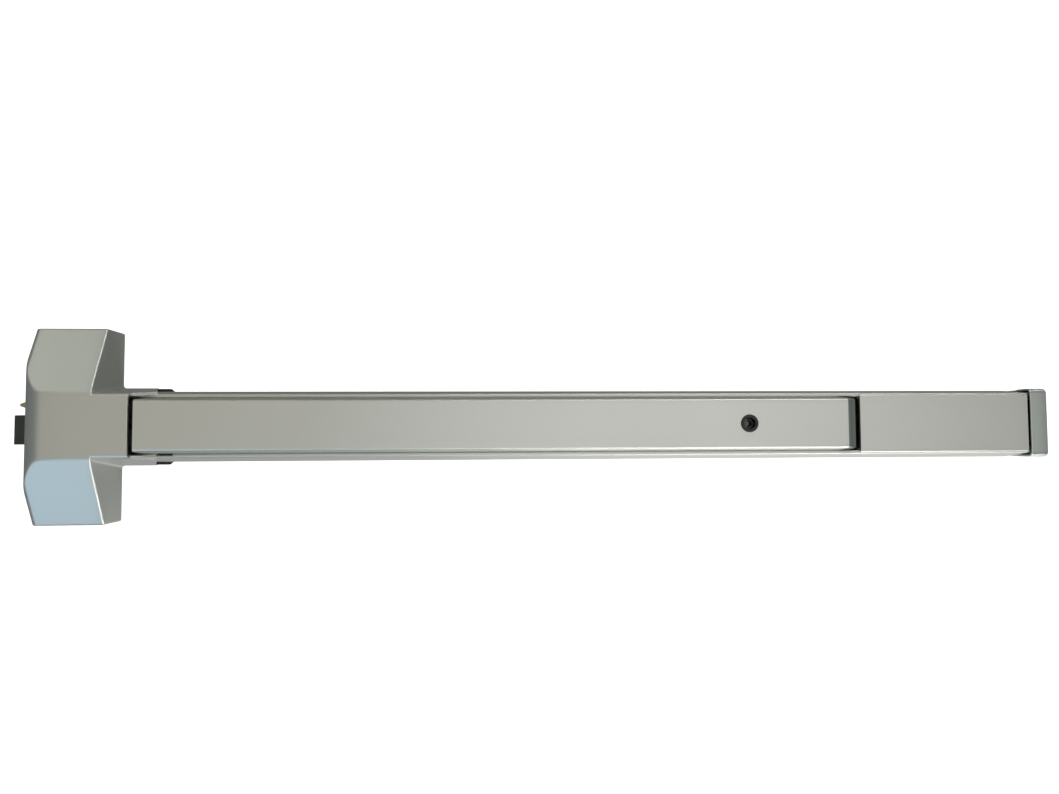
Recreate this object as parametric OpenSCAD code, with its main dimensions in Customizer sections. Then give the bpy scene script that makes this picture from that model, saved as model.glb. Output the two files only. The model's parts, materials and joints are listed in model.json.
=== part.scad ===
// Panic exit bar: a push-bar device that draws back the latch of an outward-opening door.
// +X runs from the latch to the end cap, +Z is up, and the door's face is the plane Y = 0.
// The device stands off the door towards -Y. Distances off the door are called d, so Y = -d.
// The origin is the middle of the head's mounting holes, on the door's face.

/* [Overall] */
// Length from the latch side of the head to the outer face of the end cap
total_length = 844.5; // [800:0.5:1300]
// Height of the rail where it lies on the door
rail_height = 60; // [58:0.5:80]
// Height of the rail across its lips
rail_face_height = 51; // [50:0.5:53]
// Depth of the rail, from its base to the front of its lips
rail_depth = 44; // [43:0.5:54]
// How far the push bar travels towards the door
push_travel = 14; // [10:0.5:14]

/* [Head cover] */
// Width of the head cover, along the bar
head_width = 58; // [54:0.5:72]
// Height of the head cover
head_height = 160; // [144:1:200]
// Distance from the door to the front of the head cover
head_depth = 60; // [56:0.5:74]
// Distance from the door to the outer edge of a sloping wing
wing_edge_depth = 32; // [26:0.5:38]
// Height of the flat band across the front
band_height = 52; // [50:0.5:54]
// Height of the collar's front face
collar_face_height = 51.2; // [50:0.2:54]
// How much taller than the rail the collar is where it meets the door
collar_spread = 6; // [5:0.2:12]
// Length of the collar's front face
collar_length = 28; // [20:0.5:36]
// How far the collar's cheeks reach past its front face, along the rail's lips
cheek_reach = 18; // [10:0.5:24]
// Radius between the latch side and the front
head_side_radius = 22; // [16:0.5:24]
// Wall thickness of the head cover
head_wall = 2.5; // [2:0.1:3.2]
// Size of the countersunk cover screws
cover_screw_d = 4; // [3:0.5:5]

/* [Rail and covers] */
// Thickness of the chassis plate and of the end bracket
plate_t = 3; // [2.5:0.1:4]
// Wall thickness of the rail
rail_wall = 1.8; // [1.6:0.1:2]
// Width of the opening between the rail's lips
lip_opening = 45.6; // [44:0.2:47]
// Thickness of the filler cover
cover_t = 2; // [1.6:0.1:2.5]
// Wall thickness of the end cap
cap_wall = 1.5; // [1.2:0.1:2.2]
// How far the end cap stands outside the rail at the foot of its cheeks
cap_proud = 2.1; // [1.9:0.1:3]
// How far off the door the end cap's cheeks reach down over the rail
cap_cheek_d = 33; // [30:0.5:42]
// Length of the end cap along the bar
cap_length = 15.2; // [12:0.2:24]

/* [Push bar] */
// Length of the push bar, without its end plug
bar_length = 572.5; // [520:0.5:760]
// Height of the push bar's front face
bar_face_height = 40.6; // [36:0.2:42]
// How far the push bar stands in front of the rail's lips
bar_proud = 17; // [16:0.5:22]
// Wall thickness of the push bar
bar_wall = 2; // [1.6:0.1:2.4]
// Length of the sloping nose on the end plug
plug_nose = 10.5; // [6:0.5:14]
// Gap between the end plug's nose and the filler cover
cover_gap = 6.5; // [3:0.5:10]

/* [Latch] */
// Height of the latch bolt
latch_height = 24; // [20:0.5:28]
// Thickness of the latch bolt, across the door's thickness
latch_t = 16; // [12:0.5:18]
// How far the latch bolt projects from the head
latch_throw = 19; // [16:0.5:22]
// Height of the middle of the latch bolt
latch_z = -2.5; // [-4:0.5:0]
// Distance from the door to the middle of the latch bolt
latch_d = 22.5; // [21:0.5:24]
// How far the deadlatch finger projects from the head
deadlatch_throw = 15.5; // [12:0.5:18]
// Height of the deadlatch finger
deadlatch_height = 4.8; // [3.6:0.2:5]

/* [Lever mechanism] */
// Place of the first bell crank's pivot, from the head end of the push bar
crank_inset_head = 62.5; // [50:0.5:120]
// Place of the second bell crank's pivot, from the far end of the push bar
crank_inset_far = 32; // [32:0.5:120]
// Distance from the door to the crank pivots
pivot_d = 38; // [37:0.5:40]
// Length of the crank arm that reaches the drawbar
rod_arm = 25.5; // [24.5:0.1:26]
// Radius of the crank pivot pins
pivot_pin_r = 3; // [2.5:0.1:3.2]
// Height of the drawbar's section, across the door's thickness
drawbar_w = 12.8; // [12:0.2:13.2]
// Thickness of the drawbar
drawbar_t = 4; // [3:0.2:4.4]

/* [Dogging] */
// Place of the dogging screw, from the far end of the push bar
dog_inset = 83; // [83:0.5:160]
// Size of the hexagon socket, across its flats
hex_af = 6; // [5.8:0.1:6.4]
// Radius of the grommet's face
grommet_r = 7.3; // [6.6:0.1:8.5]

/* [Mounting holes] */
// Spacing of the head's mounting holes along the bar
head_hole_dx = 32; // [26:0.5:36]
// Spacing of the head's mounting holes up the door
head_hole_dz = 120; // [100:1:130]
// Spacing of the end bracket's two mounting holes, up the door
end_hole_dz = 24; // [20:0.5:30]
// Radius of every mounting hole
mount_hole_r = 2.75; // [2.2:0.05:3.3]

/* [Hidden] */

// Colours
SATIN_GREY = "#a7a99f";
CAST_GREY = "#a3a79e";
BLACK = "#22221f";
ZINC = "#b9bcc0";
DARK_NICKEL = "#4b4a45";
TAN_STEEL = "#8d8468";
SPRING = "#6e7176";

// Clearances
pin_gap = 0.05;      // round pins in round holes
slide_gap = 0.3;     // pieces that slide past each other
link_gap = 0.25;     // pins in the linkage's slots
seat_gap = 0.3;      // a fixed piece inside another
eps = 0.5;           // how far a cutting shape runs past a face
arc_steps = 8;       // straight pieces in a rounded corner

// Places along the bar
head_x0 = -head_width / 2;
head_x1 = head_width / 2;
mouth_x = head_x1 + collar_length;
cheek_x = mouth_x + cheek_reach;
end_x = head_x0 + total_length;
rail_x0 = head_x1 + 3;
bar_x0 = mouth_x + 5.5;
bar_x1 = bar_x0 + bar_length;
nose_x = bar_x1 + plug_nose;
cover_x0 = nose_x + cover_gap;
cap_x0 = end_x - cap_length;
cover_x1 = cap_x0 - 1.3;
rail_x1 = cap_x0 + 5.5;
crank_head_x = bar_x0 + crank_inset_head;
crank_far_x = bar_x1 - crank_inset_far;
dog_x = bar_x1 - dog_inset;

// Height where the collar meets the door
collar_base_height = rail_height + collar_spread;

// Places off the door
rail_floor_d = plate_t + rail_wall;
lip_front_d = plate_t + rail_depth;
lip_under_d = lip_front_d - rail_wall;
bar_front_d = lip_front_d + bar_proud;
bar_inner_d = bar_front_d - bar_wall;
hook_t = 1.7;
hook_d = lip_under_d - 0.1 - hook_t;
bracket_t = 2;
bracket_top_d = rail_floor_d + bracket_t;
drawbar_d0 = bracket_top_d + 0.6;
drawbar_d1 = drawbar_d0 + drawbar_w;

// Rail and bar half heights at a distance off the door
rail_slope = (rail_height - rail_face_height) / 2 / rail_depth;
function rail_half(d) = rail_height / 2 - rail_slope * (d - plate_t);
lip_half = lip_opening / 2;
bar_side_half = lip_half - 0.7;
bar_face_half = bar_face_height / 2;
bar_edge_r = 2.2;
hook_half = rail_half(lip_under_d) - rail_wall - slide_gap;

// Crank geometry: the two arms turn through the same angle either side of square
half_angle = asin(latch_throw / 2 / rod_arm);
push_arm = push_travel / 2 / sin(half_angle);
rod_pin_r = 2;
push_pin_r = 2.5;
push_pin_d = pivot_d + push_arm * sin(half_angle);
push_pin_dx = -push_arm * cos(half_angle);
rod_pin_d = pivot_d - rod_arm * cos(half_angle);
rod_pin_dx = -rod_arm * sin(half_angle);
crank_t = 3;
crank_z0 = drawbar_t / 2 + 0.4;
crank_z1 = crank_z0 + crank_t;
carrier_z0 = crank_z1 + 0.4;
carrier_t = 1.8;
carrier_half_x = 8;
carrier_mid_dx = (push_pin_dx - push_arm) / 2;
ear_z0 = carrier_z0 + carrier_t + 0.4;
ear_t = 2;
ear_z1 = ear_z0 + ear_t;
crank_hub_r = pivot_pin_r + 3;
ear_half_w = 8;

// Latch geometry
latch_x0 = head_x0 - latch_throw;
latch_x1 = -4;
latch_d0 = latch_d - latch_t / 2;
latch_d1 = latch_d + latch_t / 2;
latch_z0 = latch_z - latch_height / 2;
latch_z1 = latch_z + latch_height / 2;
shoulder = 1.5;
housing_x0 = head_x0 + head_wall + 1.5;
housing_face_t = 3;
housing_x1 = 5;
tail_d0 = 15;
tail_d1 = 21;
link_pin_x = 16;
link_pin_d = (tail_d0 + tail_d1) / 2;
link_pin_r = 2;
deadlatch_z = latch_z1 + 8.5;
deadlatch_d = 19;
deadlatch_w = 6;
deadlatch_x1 = 6;
deadlatch_travel = 12;
stop_x0 = 27;
stop_x1 = 29;
latch_spring_z = latch_z0 + 4.5;
spring_rod_r = 1.4;

// Dogging geometry
dog_rivet_dx = 17;
spindle_r = 4;
spindle_neck_r = 2.2;
tee_half = 7;
tee_t = 3;
keeper_t = 2.5;
keeper_d1 = bar_inner_d - push_travel - 17;
keeper_d0 = keeper_d1 - keeper_t;
tee_d1 = keeper_d0 - 1 + push_travel;
tee_d0 = tee_d1 - tee_t;
dog_plate_d1 = bar_inner_d - 10;
dog_plate_t = 2;

// Fixings
rail_screw_x = head_x1 + 15;
rail_screw_z = 18;
rail_screw_r = 2;
rail_end_screw_x = cap_x0 - 4;
end_hole_x = cap_x0 - 20;
rivet_r = 1.6;
rivet_head_r = 2.6;
rivet_head_t = 1.4;
guide_xs = [crank_head_x + 130, crank_far_x - 110];
guide_rivet_z = 10;
return_spring_x0 = crank_head_x + 175;
return_spring_length = 45;
return_spring_z = 9;
return_spring_r = 3.6;

// ---- Helpers ---------------------------------------------------------------------------------

// Extrudes an outline in (z, d) along the bar
module along_x(x0, x1) {
    translate([x0, 0, 0]) rotate([180, -90, 0]) linear_extrude(x1 - x0) children();
}

// Extrudes an outline in (x, d) up the door
module along_z(z0, z1) {
    translate([0, 0, z1]) rotate([180, 0, 0]) linear_extrude(z1 - z0) children();
}

// Extrudes an outline in (x, z) away from the door
module off_door(d0, d1) {
    translate([0, -d0, 0]) rotate([90, 0, 0]) linear_extrude(d1 - d0) children();
}

// A block given by its low and high x, d and z
module block(x, d, z) {
    translate([x[0], -d[1], z[0]]) cube([x[1] - x[0], d[1] - d[0], z[1] - z[0]]);
}

module mirrored_z() {
    children();
    mirror([0, 0, 1]) children();
}

module disc(at, r) {
    translate(at) circle(r, $fn = 48);
}

module square_at(at, size) {
    translate(at) square(size, center = true);
}

function unit(v) = v / norm(v);
function xy(p) = [p[0], p[1]];
function short_way(a) = a > 180 ? a - 360 : a < -180 ? a + 360 : a;

// The points of one rounded corner q = [x, y, radius], between its neighbours p and s
function corner(p, q, s) =
    q[2] == 0 ? [xy(q)] :
    let (u = unit(xy(p) - xy(q)), v = unit(xy(s) - xy(q)),
         half = acos(u * v) / 2,
         c = xy(q) + unit(u + v) * q[2] / sin(half),
         from = xy(q) + u * q[2] / tan(half) - c,
         to = xy(q) + v * q[2] / tan(half) - c,
         a0 = atan2(from[1], from[0]),
         turn = short_way(atan2(to[1], to[0]) - a0))
    [for (i = [0:arc_steps]) c + q[2] * [cos(a0 + turn * i / arc_steps), sin(a0 + turn * i / arc_steps)]];

// A closed outline from corners [x, y, radius]
function rounded(corners) =
    let (n = len(corners))
    [for (i = [0:n - 1]) each corner(corners[(i + n - 1) % n], corners[i], corners[(i + 1) % n])];

// A slot with round ends, its long axis along x
module slot_x(at, length, r) {
    translate(at) {
        square([length - 2 * r, 2 * r], center = true);
        for (side = [-1, 1]) disc([side * (length / 2 - r), 0], r);
    }
}

// A slot with round ends, its long axis along the second direction
module slot_d(at, length, r) {
    translate(at) rotate(90) slot_x([0, 0], length, r);
}

// A flat arm between two eyes, tangent to both
module arm(a, ra, b, rb) {
    u = unit(b - a);
    side = [-u[1], u[0]];
    polygon([a + side * ra, b + side * rb, b - side * rb, a - side * ra]);
    disc(a, ra);
    disc(b, rb);
}

// The wire of a coil spring along +x from the origin, with closed ends that lie flat
function coil_ring(angle, x, coil_r, wire_r, sides) =
    [for (k = [0:sides - 1])
        let (t = 360 * k / sides, r = coil_r + wire_r * cos(t))
        [x + wire_r * sin(t), r * cos(angle), r * sin(angle)]];

module coil(length, coil_r, wire_r, turns) {
    sides = 6;
    per_turn = 12;
    n = turns * per_turn;
    rings = [for (i = [0:n])
        coil_ring(360 * i / per_turn, wire_r + (length - 2 * wire_r) * i / n, coil_r, wire_r, sides)];
    points = [for (ring = rings) each ring];
    walls = [for (i = [0:n - 1], k = [0:sides - 1])
        [i * sides + k, i * sides + (k + 1) % sides, (i + 1) * sides + (k + 1) % sides, (i + 1) * sides + k]];
    first = [[for (k = [sides - 1:-1:0]) k]];
    last = [[for (k = [0:sides - 1]) n * sides + k]];
    polyhedron(points = points, faces = concat(first, walls, last), convexity = 10);
}

// A countersunk screw, its head's face at d = 0 and its point towards -d
module countersunk(shank_r, head_r, head_t, length) {
    rotate([-90, 0, 0]) {
        cylinder(h = head_t, r1 = head_r, r2 = shank_r, $fn = 48);
        cylinder(h = length, r = shank_r, $fn = 48);
    }
}

// ---- Head ------------------------------------------------------------------------------------

// The wings' outline in (z, d), set in by t from the outer skin
module wing_outline(t) {
    slope = atan((head_depth - wing_edge_depth) / (head_height / 2 - band_height / 2));
    front_z = band_height / 2 - t * (1 / cos(slope) - 1) / tan(slope);
    edge_z = head_height / 2 - t;
    edge_d = head_depth - t - (edge_z - front_z) * tan(slope);
    edge_r = 4 - t;
    polygon(rounded([
        [-edge_z, -eps, 0], [-edge_z, edge_d, edge_r], [-front_z, head_depth - t, 3],
        [front_z, head_depth - t, 3], [edge_z, edge_d, edge_r], [edge_z, -eps, 0]]));
}

// The collar's outer outline in (z, d)
module collar_outline() {
    base = collar_base_height / 2;
    face = collar_face_height / 2;
    polygon(rounded([[-base, 0, 0], [-face, head_depth, 3], [face, head_depth, 3], [base, 0, 0]]));
}

// The space inside the collar in (z, d): it clears the rail, then follows the outer skin
module collar_cavity() {
    base = rail_half(0) + seat_gap;
    lip = rail_half(lip_front_d) + seat_gap;
    face = collar_face_height / 2 - head_wall + 0.2;
    polygon([[-base, -eps], [-lip, lip_front_d + seat_gap], [-face, head_depth - head_wall],
        [face, head_depth - head_wall], [lip, lip_front_d + seat_gap], [base, -eps]]);
}

// The head's outline in (x, d), set in by t, without the collar
module side_outline(t) {
    x0 = head_x0 + t;
    x1 = head_x1 - t;
    polygon(rounded([
        [x0, -eps, 0], [x0, head_depth - t, head_side_radius - t], [x1, head_depth - t, 0], [x1, -eps, 0]]));
}

// The head's outline with the collar: its rim slopes down to the rail's lips and back under to the door
module collar_side_outline() {
    polygon(rounded([
        [head_x0, -eps, 0], [head_x0, head_depth, head_side_radius], [mouth_x, head_depth, 1.5],
        [cheek_x, lip_front_d, 1], [mouth_x + 1, plate_t, 0], [mouth_x + 1, -eps, 0]]));
}

module head_body(t) {
    intersection() {
        along_x(head_x0 + t, head_x1 - t) wing_outline(t);
        along_z(-head_height / 2, head_height / 2) side_outline(t);
    }
}

cover_screw_r = cover_screw_d / 2;
cover_screw_head_r = cover_screw_d * 0.95;
cover_screw_head_t = head_wall - 0.4;
cover_screw_at_d = plate_t + 9;

module at_cover_screws() {
    for (side = [0, 1]) mirror([0, 0, side])
        translate([0, -cover_screw_at_d, head_height / 2]) rotate([-90, 0, 0]) children();
}

module head_cover() {
    color(CAST_GREY) difference() {
        intersection() {
            union() {
                head_body(0);
                intersection() {
                    along_x(head_x0, cheek_x + eps) collar_outline();
                    along_z(-head_height / 2, head_height / 2) collar_side_outline();
                }
            }
            block([head_x0 - eps, cheek_x + eps], [0, head_depth + eps],
                [-head_height / 2 - eps, head_height / 2 + eps]);
        }
        head_body(head_wall);
        along_x(head_x1 - head_wall - eps, cheek_x + 2 * eps) collar_cavity();
        // windows for the latch and the deadlatch finger
        block([head_x0 - eps, head_x0 + head_wall + eps],
            [latch_d0 - slide_gap * 2, latch_d1 + slide_gap * 2],
            [latch_z0 - slide_gap * 2, latch_z1 + slide_gap * 2]);
        block([head_x0 - eps, head_x0 + head_wall + eps],
            [deadlatch_d - deadlatch_w / 2 - slide_gap * 2, deadlatch_d + deadlatch_w / 2 + slide_gap * 2],
            [deadlatch_z - deadlatch_height / 2 - slide_gap * 2,
             deadlatch_z + deadlatch_height / 2 + slide_gap * 2]);
        at_cover_screws() countersunk(cover_screw_r + 0.1, cover_screw_head_r + 0.1,
            cover_screw_head_t, head_wall + eps);
    }
}

module head_cover_screws() {
    color(ZINC) at_cover_screws() difference() {
        countersunk(cover_screw_r, cover_screw_head_r, cover_screw_head_t, 9);
        // cross recess
        for (turn = [0, 90]) rotate([0, turn, 0])
            translate([-cover_screw_r, -0.01, -0.4]) cube([2 * cover_screw_r, 1.2, 0.8]);
    }
}

tail_x1 = mouth_x + 15;
tail_bevel = 2.5;

module chassis_plate() {
    wide_x = head_x1 - head_wall - seat_gap;
    narrow_z = rail_half(plate_t) + 0.15;
    wide_z = head_height / 2 - head_wall - seat_gap;
    ear_z = rail_height / 2 + 2.3;
    ear_x0 = mouth_x + 1 + seat_gap;
    tab_t = 4;
    color(BLACK) difference() {
        union() {
            off_door(0, plate_t) polygon([
                [-wide_x, -wide_z], [wide_x, -wide_z], [wide_x, -narrow_z], [ear_x0, -narrow_z],
                [ear_x0, -ear_z], [tail_x1 - tail_bevel, -ear_z], [tail_x1, -ear_z + tail_bevel],
                [tail_x1, ear_z - tail_bevel], [tail_x1 - tail_bevel, ear_z], [ear_x0, ear_z],
                [ear_x0, narrow_z], [wide_x, narrow_z], [wide_x, wide_z], [-wide_x, wide_z]]);
            // bent tabs that take the cover screws
            mirrored_z() block([-8, 8], [0, cover_screw_at_d + 5], [wide_z - tab_t, wide_z]);
        }
        for (x = [-1, 1], z = [-1, 1])
            off_door(-eps, plate_t + eps) disc([x * head_hole_dx / 2, z * head_hole_dz / 2], mount_hole_r);
        for (z = [-1, 1])
            off_door(-eps, plate_t + eps) disc([rail_screw_x, z * rail_screw_z], rail_screw_r + pin_gap);
        mirrored_z() translate([0, -cover_screw_at_d, wide_z - tab_t - eps])
            cylinder(h = tab_t + 2 * eps, r = cover_screw_r + pin_gap, $fn = 48);
    }
}

// ---- Rail and covers -------------------------------------------------------------------------

module rail_outline() {
    base = rail_half(plate_t);
    face = rail_half(lip_front_d);
    floor_half = rail_half(rail_floor_d) - rail_wall;
    roof_half = rail_half(lip_under_d) - rail_wall;
    polygon(rounded([
        [-base, plate_t, 0.6], [base, plate_t, 0.6], [face, lip_front_d, 1], [lip_half, lip_front_d, 0.4],
        [lip_half, lip_under_d, 0], [roof_half, lip_under_d, 0], [floor_half, rail_floor_d, 0],
        [-floor_half, rail_floor_d, 0], [-roof_half, lip_under_d, 0], [-lip_half, lip_under_d, 0],
        [-lip_half, lip_front_d, 0.4], [-face, lip_front_d, 1]]));
}

// Every rivet through the rail's floor: [x, z]
function rail_rivet_places() = concat(
    [for (x = [crank_head_x, crank_far_x], z = [-1, 1]) [x, z * 14.5]],
    [for (x = guide_xs, z = [-1, 1]) [x, z * guide_rivet_z]],
    [for (z = [-1, 1]) [dog_x, z * 21]],
    [[return_spring_x0 + return_spring_length + 7, 17]]);

lip_notch_x0 = cheek_x - 0.5;
lip_notch_length = 13;
lip_notch_depth = 1.6;

module rail() {
    color(SATIN_GREY) difference() {
        along_x(rail_x0, rail_x1) rail_outline();
        // assembly notch in the lower lip
        block([lip_notch_x0, lip_notch_x0 + lip_notch_length],
            [lip_under_d - eps, lip_front_d + eps], [-lip_half - lip_notch_depth, -lip_half + eps]);
        for (p = rail_rivet_places())
            off_door(plate_t - eps, rail_floor_d + eps) disc(p, rivet_r + pin_gap);
        for (z = [-1, 1])
            off_door(plate_t - eps, rail_floor_d + eps) {
                disc([rail_screw_x, z * rail_screw_z], rail_screw_r + 0.2);
                // ways through to the end bracket's mounting screws
                disc([end_hole_x, z * end_hole_dz / 2], mount_hole_r + 3.5);
            }
        off_door(plate_t - eps, rail_floor_d + eps) disc([rail_end_screw_x, 0], rail_screw_r + 0.2);
    }
}

module pan_screw(at, d_head, d_point) {
    head_t = 2.2;
    off_door(d_point, d_head + head_t / 2) disc(at, rail_screw_r);
    difference() {
        off_door(d_head, d_head + head_t) disc(at, rail_screw_r * 1.9);
        for (turn = [0, 90]) translate([at[0], -d_head - head_t, at[1]]) rotate([0, turn, 0])
            cube([rail_screw_r * 2, 2, 0.8], center = true);
    }
}

module rail_screws() {
    color(ZINC) {
        for (z = [-1, 1]) pan_screw([rail_screw_x, z * rail_screw_z], rail_floor_d, 0.3);
        pan_screw([rail_end_screw_x, 0], rail_floor_d, 0.3);
    }
}

module rail_rivets() {
    color(ZINC) for (p = rail_rivet_places()) {
        off_door(plate_t + 0.1, bracket_top_d + rivet_head_t / 2) disc(p, rivet_r);
        off_door(bracket_top_d, bracket_top_d + rivet_head_t) disc(p, rivet_head_r);
    }
}

// One side of the filler cover's outline: its edge, then the leg that snaps in behind the lip
function cover_side(side) =
    let (half = rail_half(lip_front_d) - 1.1, leg = lip_half - 0.4, leg_t = 1.6, barb = 1.1,
         catch_d = lip_under_d - 0.1)
    [for (p = [
        [half, lip_front_d + cover_t, 1.4], [half, lip_front_d, 0], [leg, lip_front_d, 0],
        [leg, catch_d, 0], [leg + barb, catch_d, 0], [leg + barb, catch_d - 0.7, 0],
        [leg, catch_d - 3.4, 0], [leg - leg_t, catch_d - 3.4, 0], [leg - leg_t, lip_front_d, 0.4]])
        [side * p[0], p[1], p[2]]];

module filler_cover() {
    right = cover_side(1);
    left = cover_side(-1);
    last = len(left) - 1;
    color(SATIN_GREY) along_x(cover_x0, cover_x1)
        polygon(rounded(concat(right, [for (i = [0:last]) left[last - i]])));
}

cap_front_d = lip_front_d + cover_t + seat_gap + cap_wall;

cap_half = rail_half(cap_cheek_d) + cap_proud;

module cap_outline(t) {
    half = cap_half - t;
    polygon(rounded([[-half, -eps, 0], [-half, cap_front_d - t, 4.5 - t],
        [half, cap_front_d - t, 4.5 - t], [half, -eps, 0]]));
}

cap_screw_d = 25;

module end_cap() {
    foot_x = rail_x1 + seat_gap;
    color(SATIN_GREY) difference() {
        intersection() {
            along_x(cap_x0, end_x) cap_outline(0);
            // the cheeks step back below the rail's edge, so that the cap clears its base
            along_z(-rail_height, rail_height) polygon(rounded([
                [foot_x, 0, 0], [foot_x, cap_cheek_d - 4, 1], [cap_x0, cap_cheek_d, 1.5],
                [cap_x0, cap_front_d + eps, 0], [end_x - 0.01, cap_front_d + 0.01, 3.5], [end_x, 0, 0]]));
        }
        along_x(cap_x0 - eps, end_x - cap_wall) cap_outline(cap_wall);
        translate([end_x - cap_wall - eps, -cap_screw_d, 0]) rotate([0, 90, 0])
            cylinder(h = cap_wall + 2 * eps, r = cover_screw_r + 0.2, $fn = 48);
    }
}

bracket_post_x0 = end_x - cap_wall - seat_gap - plate_t;

module end_bracket() {
    plate_half = rail_height / 2 - 0.3;
    color(BLACK) difference() {
        union() {
            block([cap_x0 - 32, rail_x1], [0, plate_t], [-plate_half, plate_half]);
            block([rail_x1 - eps, bracket_post_x0 + plate_t], [0, plate_t], [-20, 20]);
            block([bracket_post_x0, bracket_post_x0 + plate_t], [0, lip_under_d - 2], [-20, 20]);
        }
        for (z = [-1, 1])
            off_door(-eps, plate_t + eps) disc([end_hole_x, z * end_hole_dz / 2], mount_hole_r);
        off_door(-eps, plate_t + eps) disc([rail_end_screw_x, 0], rail_screw_r + pin_gap);
        translate([bracket_post_x0 - eps, -cap_screw_d, 0]) rotate([0, 90, 0])
            cylinder(h = plate_t + 2 * eps, r = cover_screw_r + pin_gap, $fn = 48);
    }
}

module end_cap_screw() {
    head_t = 1.6;
    color(ZINC) translate([end_x, -cap_screw_d, 0]) rotate([0, 90, 0]) {
        translate([0, 0, -8]) cylinder(h = 8 + head_t / 2, r = cover_screw_r, $fn = 48);
        difference() {
            cylinder(h = head_t, r = cover_screw_head_r, $fn = 48);
            for (turn = [0, 90]) rotate([0, 0, turn])
                translate([0, 0, head_t]) cube([2 * cover_screw_r, 0.8, 1.6], center = true);
        }
    }
}

// ---- Push bar --------------------------------------------------------------------------------

// The push bar's outline in (z, d), set in by t, down to d0
module bar_outline(t, d0) {
    side = bar_side_half - t;
    face = bar_face_half - t;
    edge_r = t == 0 ? bar_edge_r : 0.5;
    polygon(rounded([[-side, d0, 0], [-side, lip_front_d, 0], [-face, bar_front_d - t, edge_r],
        [face, bar_front_d - t, edge_r], [side, lip_front_d, 0], [side, d0, 0]]));
}

// The push bar's whole section in (z, d), with the hooks that catch behind the rail's lips
module bar_section() {
    inner_half = bar_side_half - bar_wall;
    inner_face = bar_face_half - bar_wall;
    hook_top_d = hook_d + hook_t;
    polygon(rounded([
        [-hook_half, hook_d, 0], [-hook_half, hook_top_d, 0], [-bar_side_half, hook_top_d, 0],
        [-bar_side_half, lip_front_d, 0], [-bar_face_half, bar_front_d, bar_edge_r],
        [bar_face_half, bar_front_d, bar_edge_r], [bar_side_half, lip_front_d, 0],
        [bar_side_half, hook_top_d, 0], [hook_half, hook_top_d, 0], [hook_half, hook_d, 0],
        [inner_half, hook_d, 0], [inner_half, lip_front_d, 0], [inner_face, bar_inner_d, 0.5],
        [-inner_face, bar_inner_d, 0.5], [-inner_half, lip_front_d, 0], [-inner_half, hook_d, 0]]));
}

module push_bar() {
    color(SATIN_GREY) difference() {
        along_x(bar_x0, bar_x1) bar_section();
        off_door(bar_inner_d - eps, bar_front_d + eps) disc([dog_x, 0], grommet_neck_r + 0.1);
        for (p = bar_rivet_places()) off_door(bar_inner_d - eps, bar_inner_d + bar_wall / 2) disc(p, rivet_r);
    }
}

plug_gap = 0.15;

module push_bar_head_plug() {
    color(BLACK) along_x(bar_x0 + 1.5, bar_x0 + 8) bar_outline(bar_wall + plug_gap, hook_d + 2);
}

module push_bar_end_plug() {
    color(SATIN_GREY) {
        along_x(bar_x1 - 12, bar_x1 + eps) bar_outline(bar_wall + plug_gap, hook_d + 2);
        intersection() {
            along_x(bar_x1, nose_x) bar_outline(0, hook_d + 2);
            along_z(-rail_height, rail_height) polygon(rounded([
                [bar_x1, hook_d, 0], [bar_x1, bar_front_d - 0.4, 0],
                [bar_x1 + plug_nose * 0.62, bar_front_d - 3.4, 5], [nose_x, bar_front_d - 12.5, 4],
                [nose_x, hook_d, 0]]));
        }
    }
}

// A pad on the hook, under the notch in the lower lip, that the bar slides on
module bar_glide() {
    color(BLACK) block([lip_notch_x0 + 2 * slide_gap, lip_notch_x0 + lip_notch_length - 2 * slide_gap],
        [hook_d + hook_t, lip_front_d - 2 * slide_gap],
        [-hook_half, -bar_side_half]);
}

carrier_rivet_z = 11;
function bar_rivet_places() = concat(
    [for (x = [crank_head_x, crank_far_x], z = [-1, 1]) [x + push_pin_dx, z * carrier_rivet_z]],
    [for (side = [-1, 1]) [dog_x + side * dog_rivet_dx, 0]]);

// The carrier's foot is riveted inside the bar's face, and its two ears hold the crank's pin
module push_carrier(x) {
    ear_r = push_pin_r + 2.6;
    foot_z = carrier_rivet_z + rivet_head_r + 0.6;
    mid_dx = carrier_mid_dx;
    slot_length = push_arm + push_pin_dx + 2 * (push_pin_r + link_gap);
    color(ZINC) difference() {
        union() {
            block([x + mid_dx - carrier_half_x, x + mid_dx + carrier_half_x], [bar_inner_d - bracket_t, bar_inner_d], [-foot_z, foot_z]);
            mirrored_z() along_z(carrier_z0, carrier_z0 + carrier_t) {
                translate([x + mid_dx - ear_r, push_pin_d])
                    square([2 * ear_r, bar_inner_d - bracket_t / 2 - push_pin_d]);
                disc([x + mid_dx, push_pin_d], ear_r);
            }
        }
        along_z(-foot_z, foot_z) slot_x([x + mid_dx, push_pin_d], slot_length, push_pin_r + link_gap);
        for (z = [-1, 1]) off_door(bar_inner_d - bracket_t - eps, bar_inner_d + eps)
            disc([x + push_pin_dx, z * carrier_rivet_z], rivet_r + pin_gap);
    }
}

module push_carrier_head() { push_carrier(crank_head_x); }
module push_carrier_far() { push_carrier(crank_far_x); }

module push_bar_rivets() {
    color(ZINC) for (p = bar_rivet_places()) {
        off_door(bar_inner_d - bracket_t - rivet_head_t / 2, bar_inner_d + bar_wall / 2) disc(p, rivet_r);
        off_door(bar_inner_d - bracket_t - rivet_head_t, bar_inner_d - bracket_t) disc(p, rivet_head_r);
    }
}

// ---- Cranks and drawbar ----------------------------------------------------------------------

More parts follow.
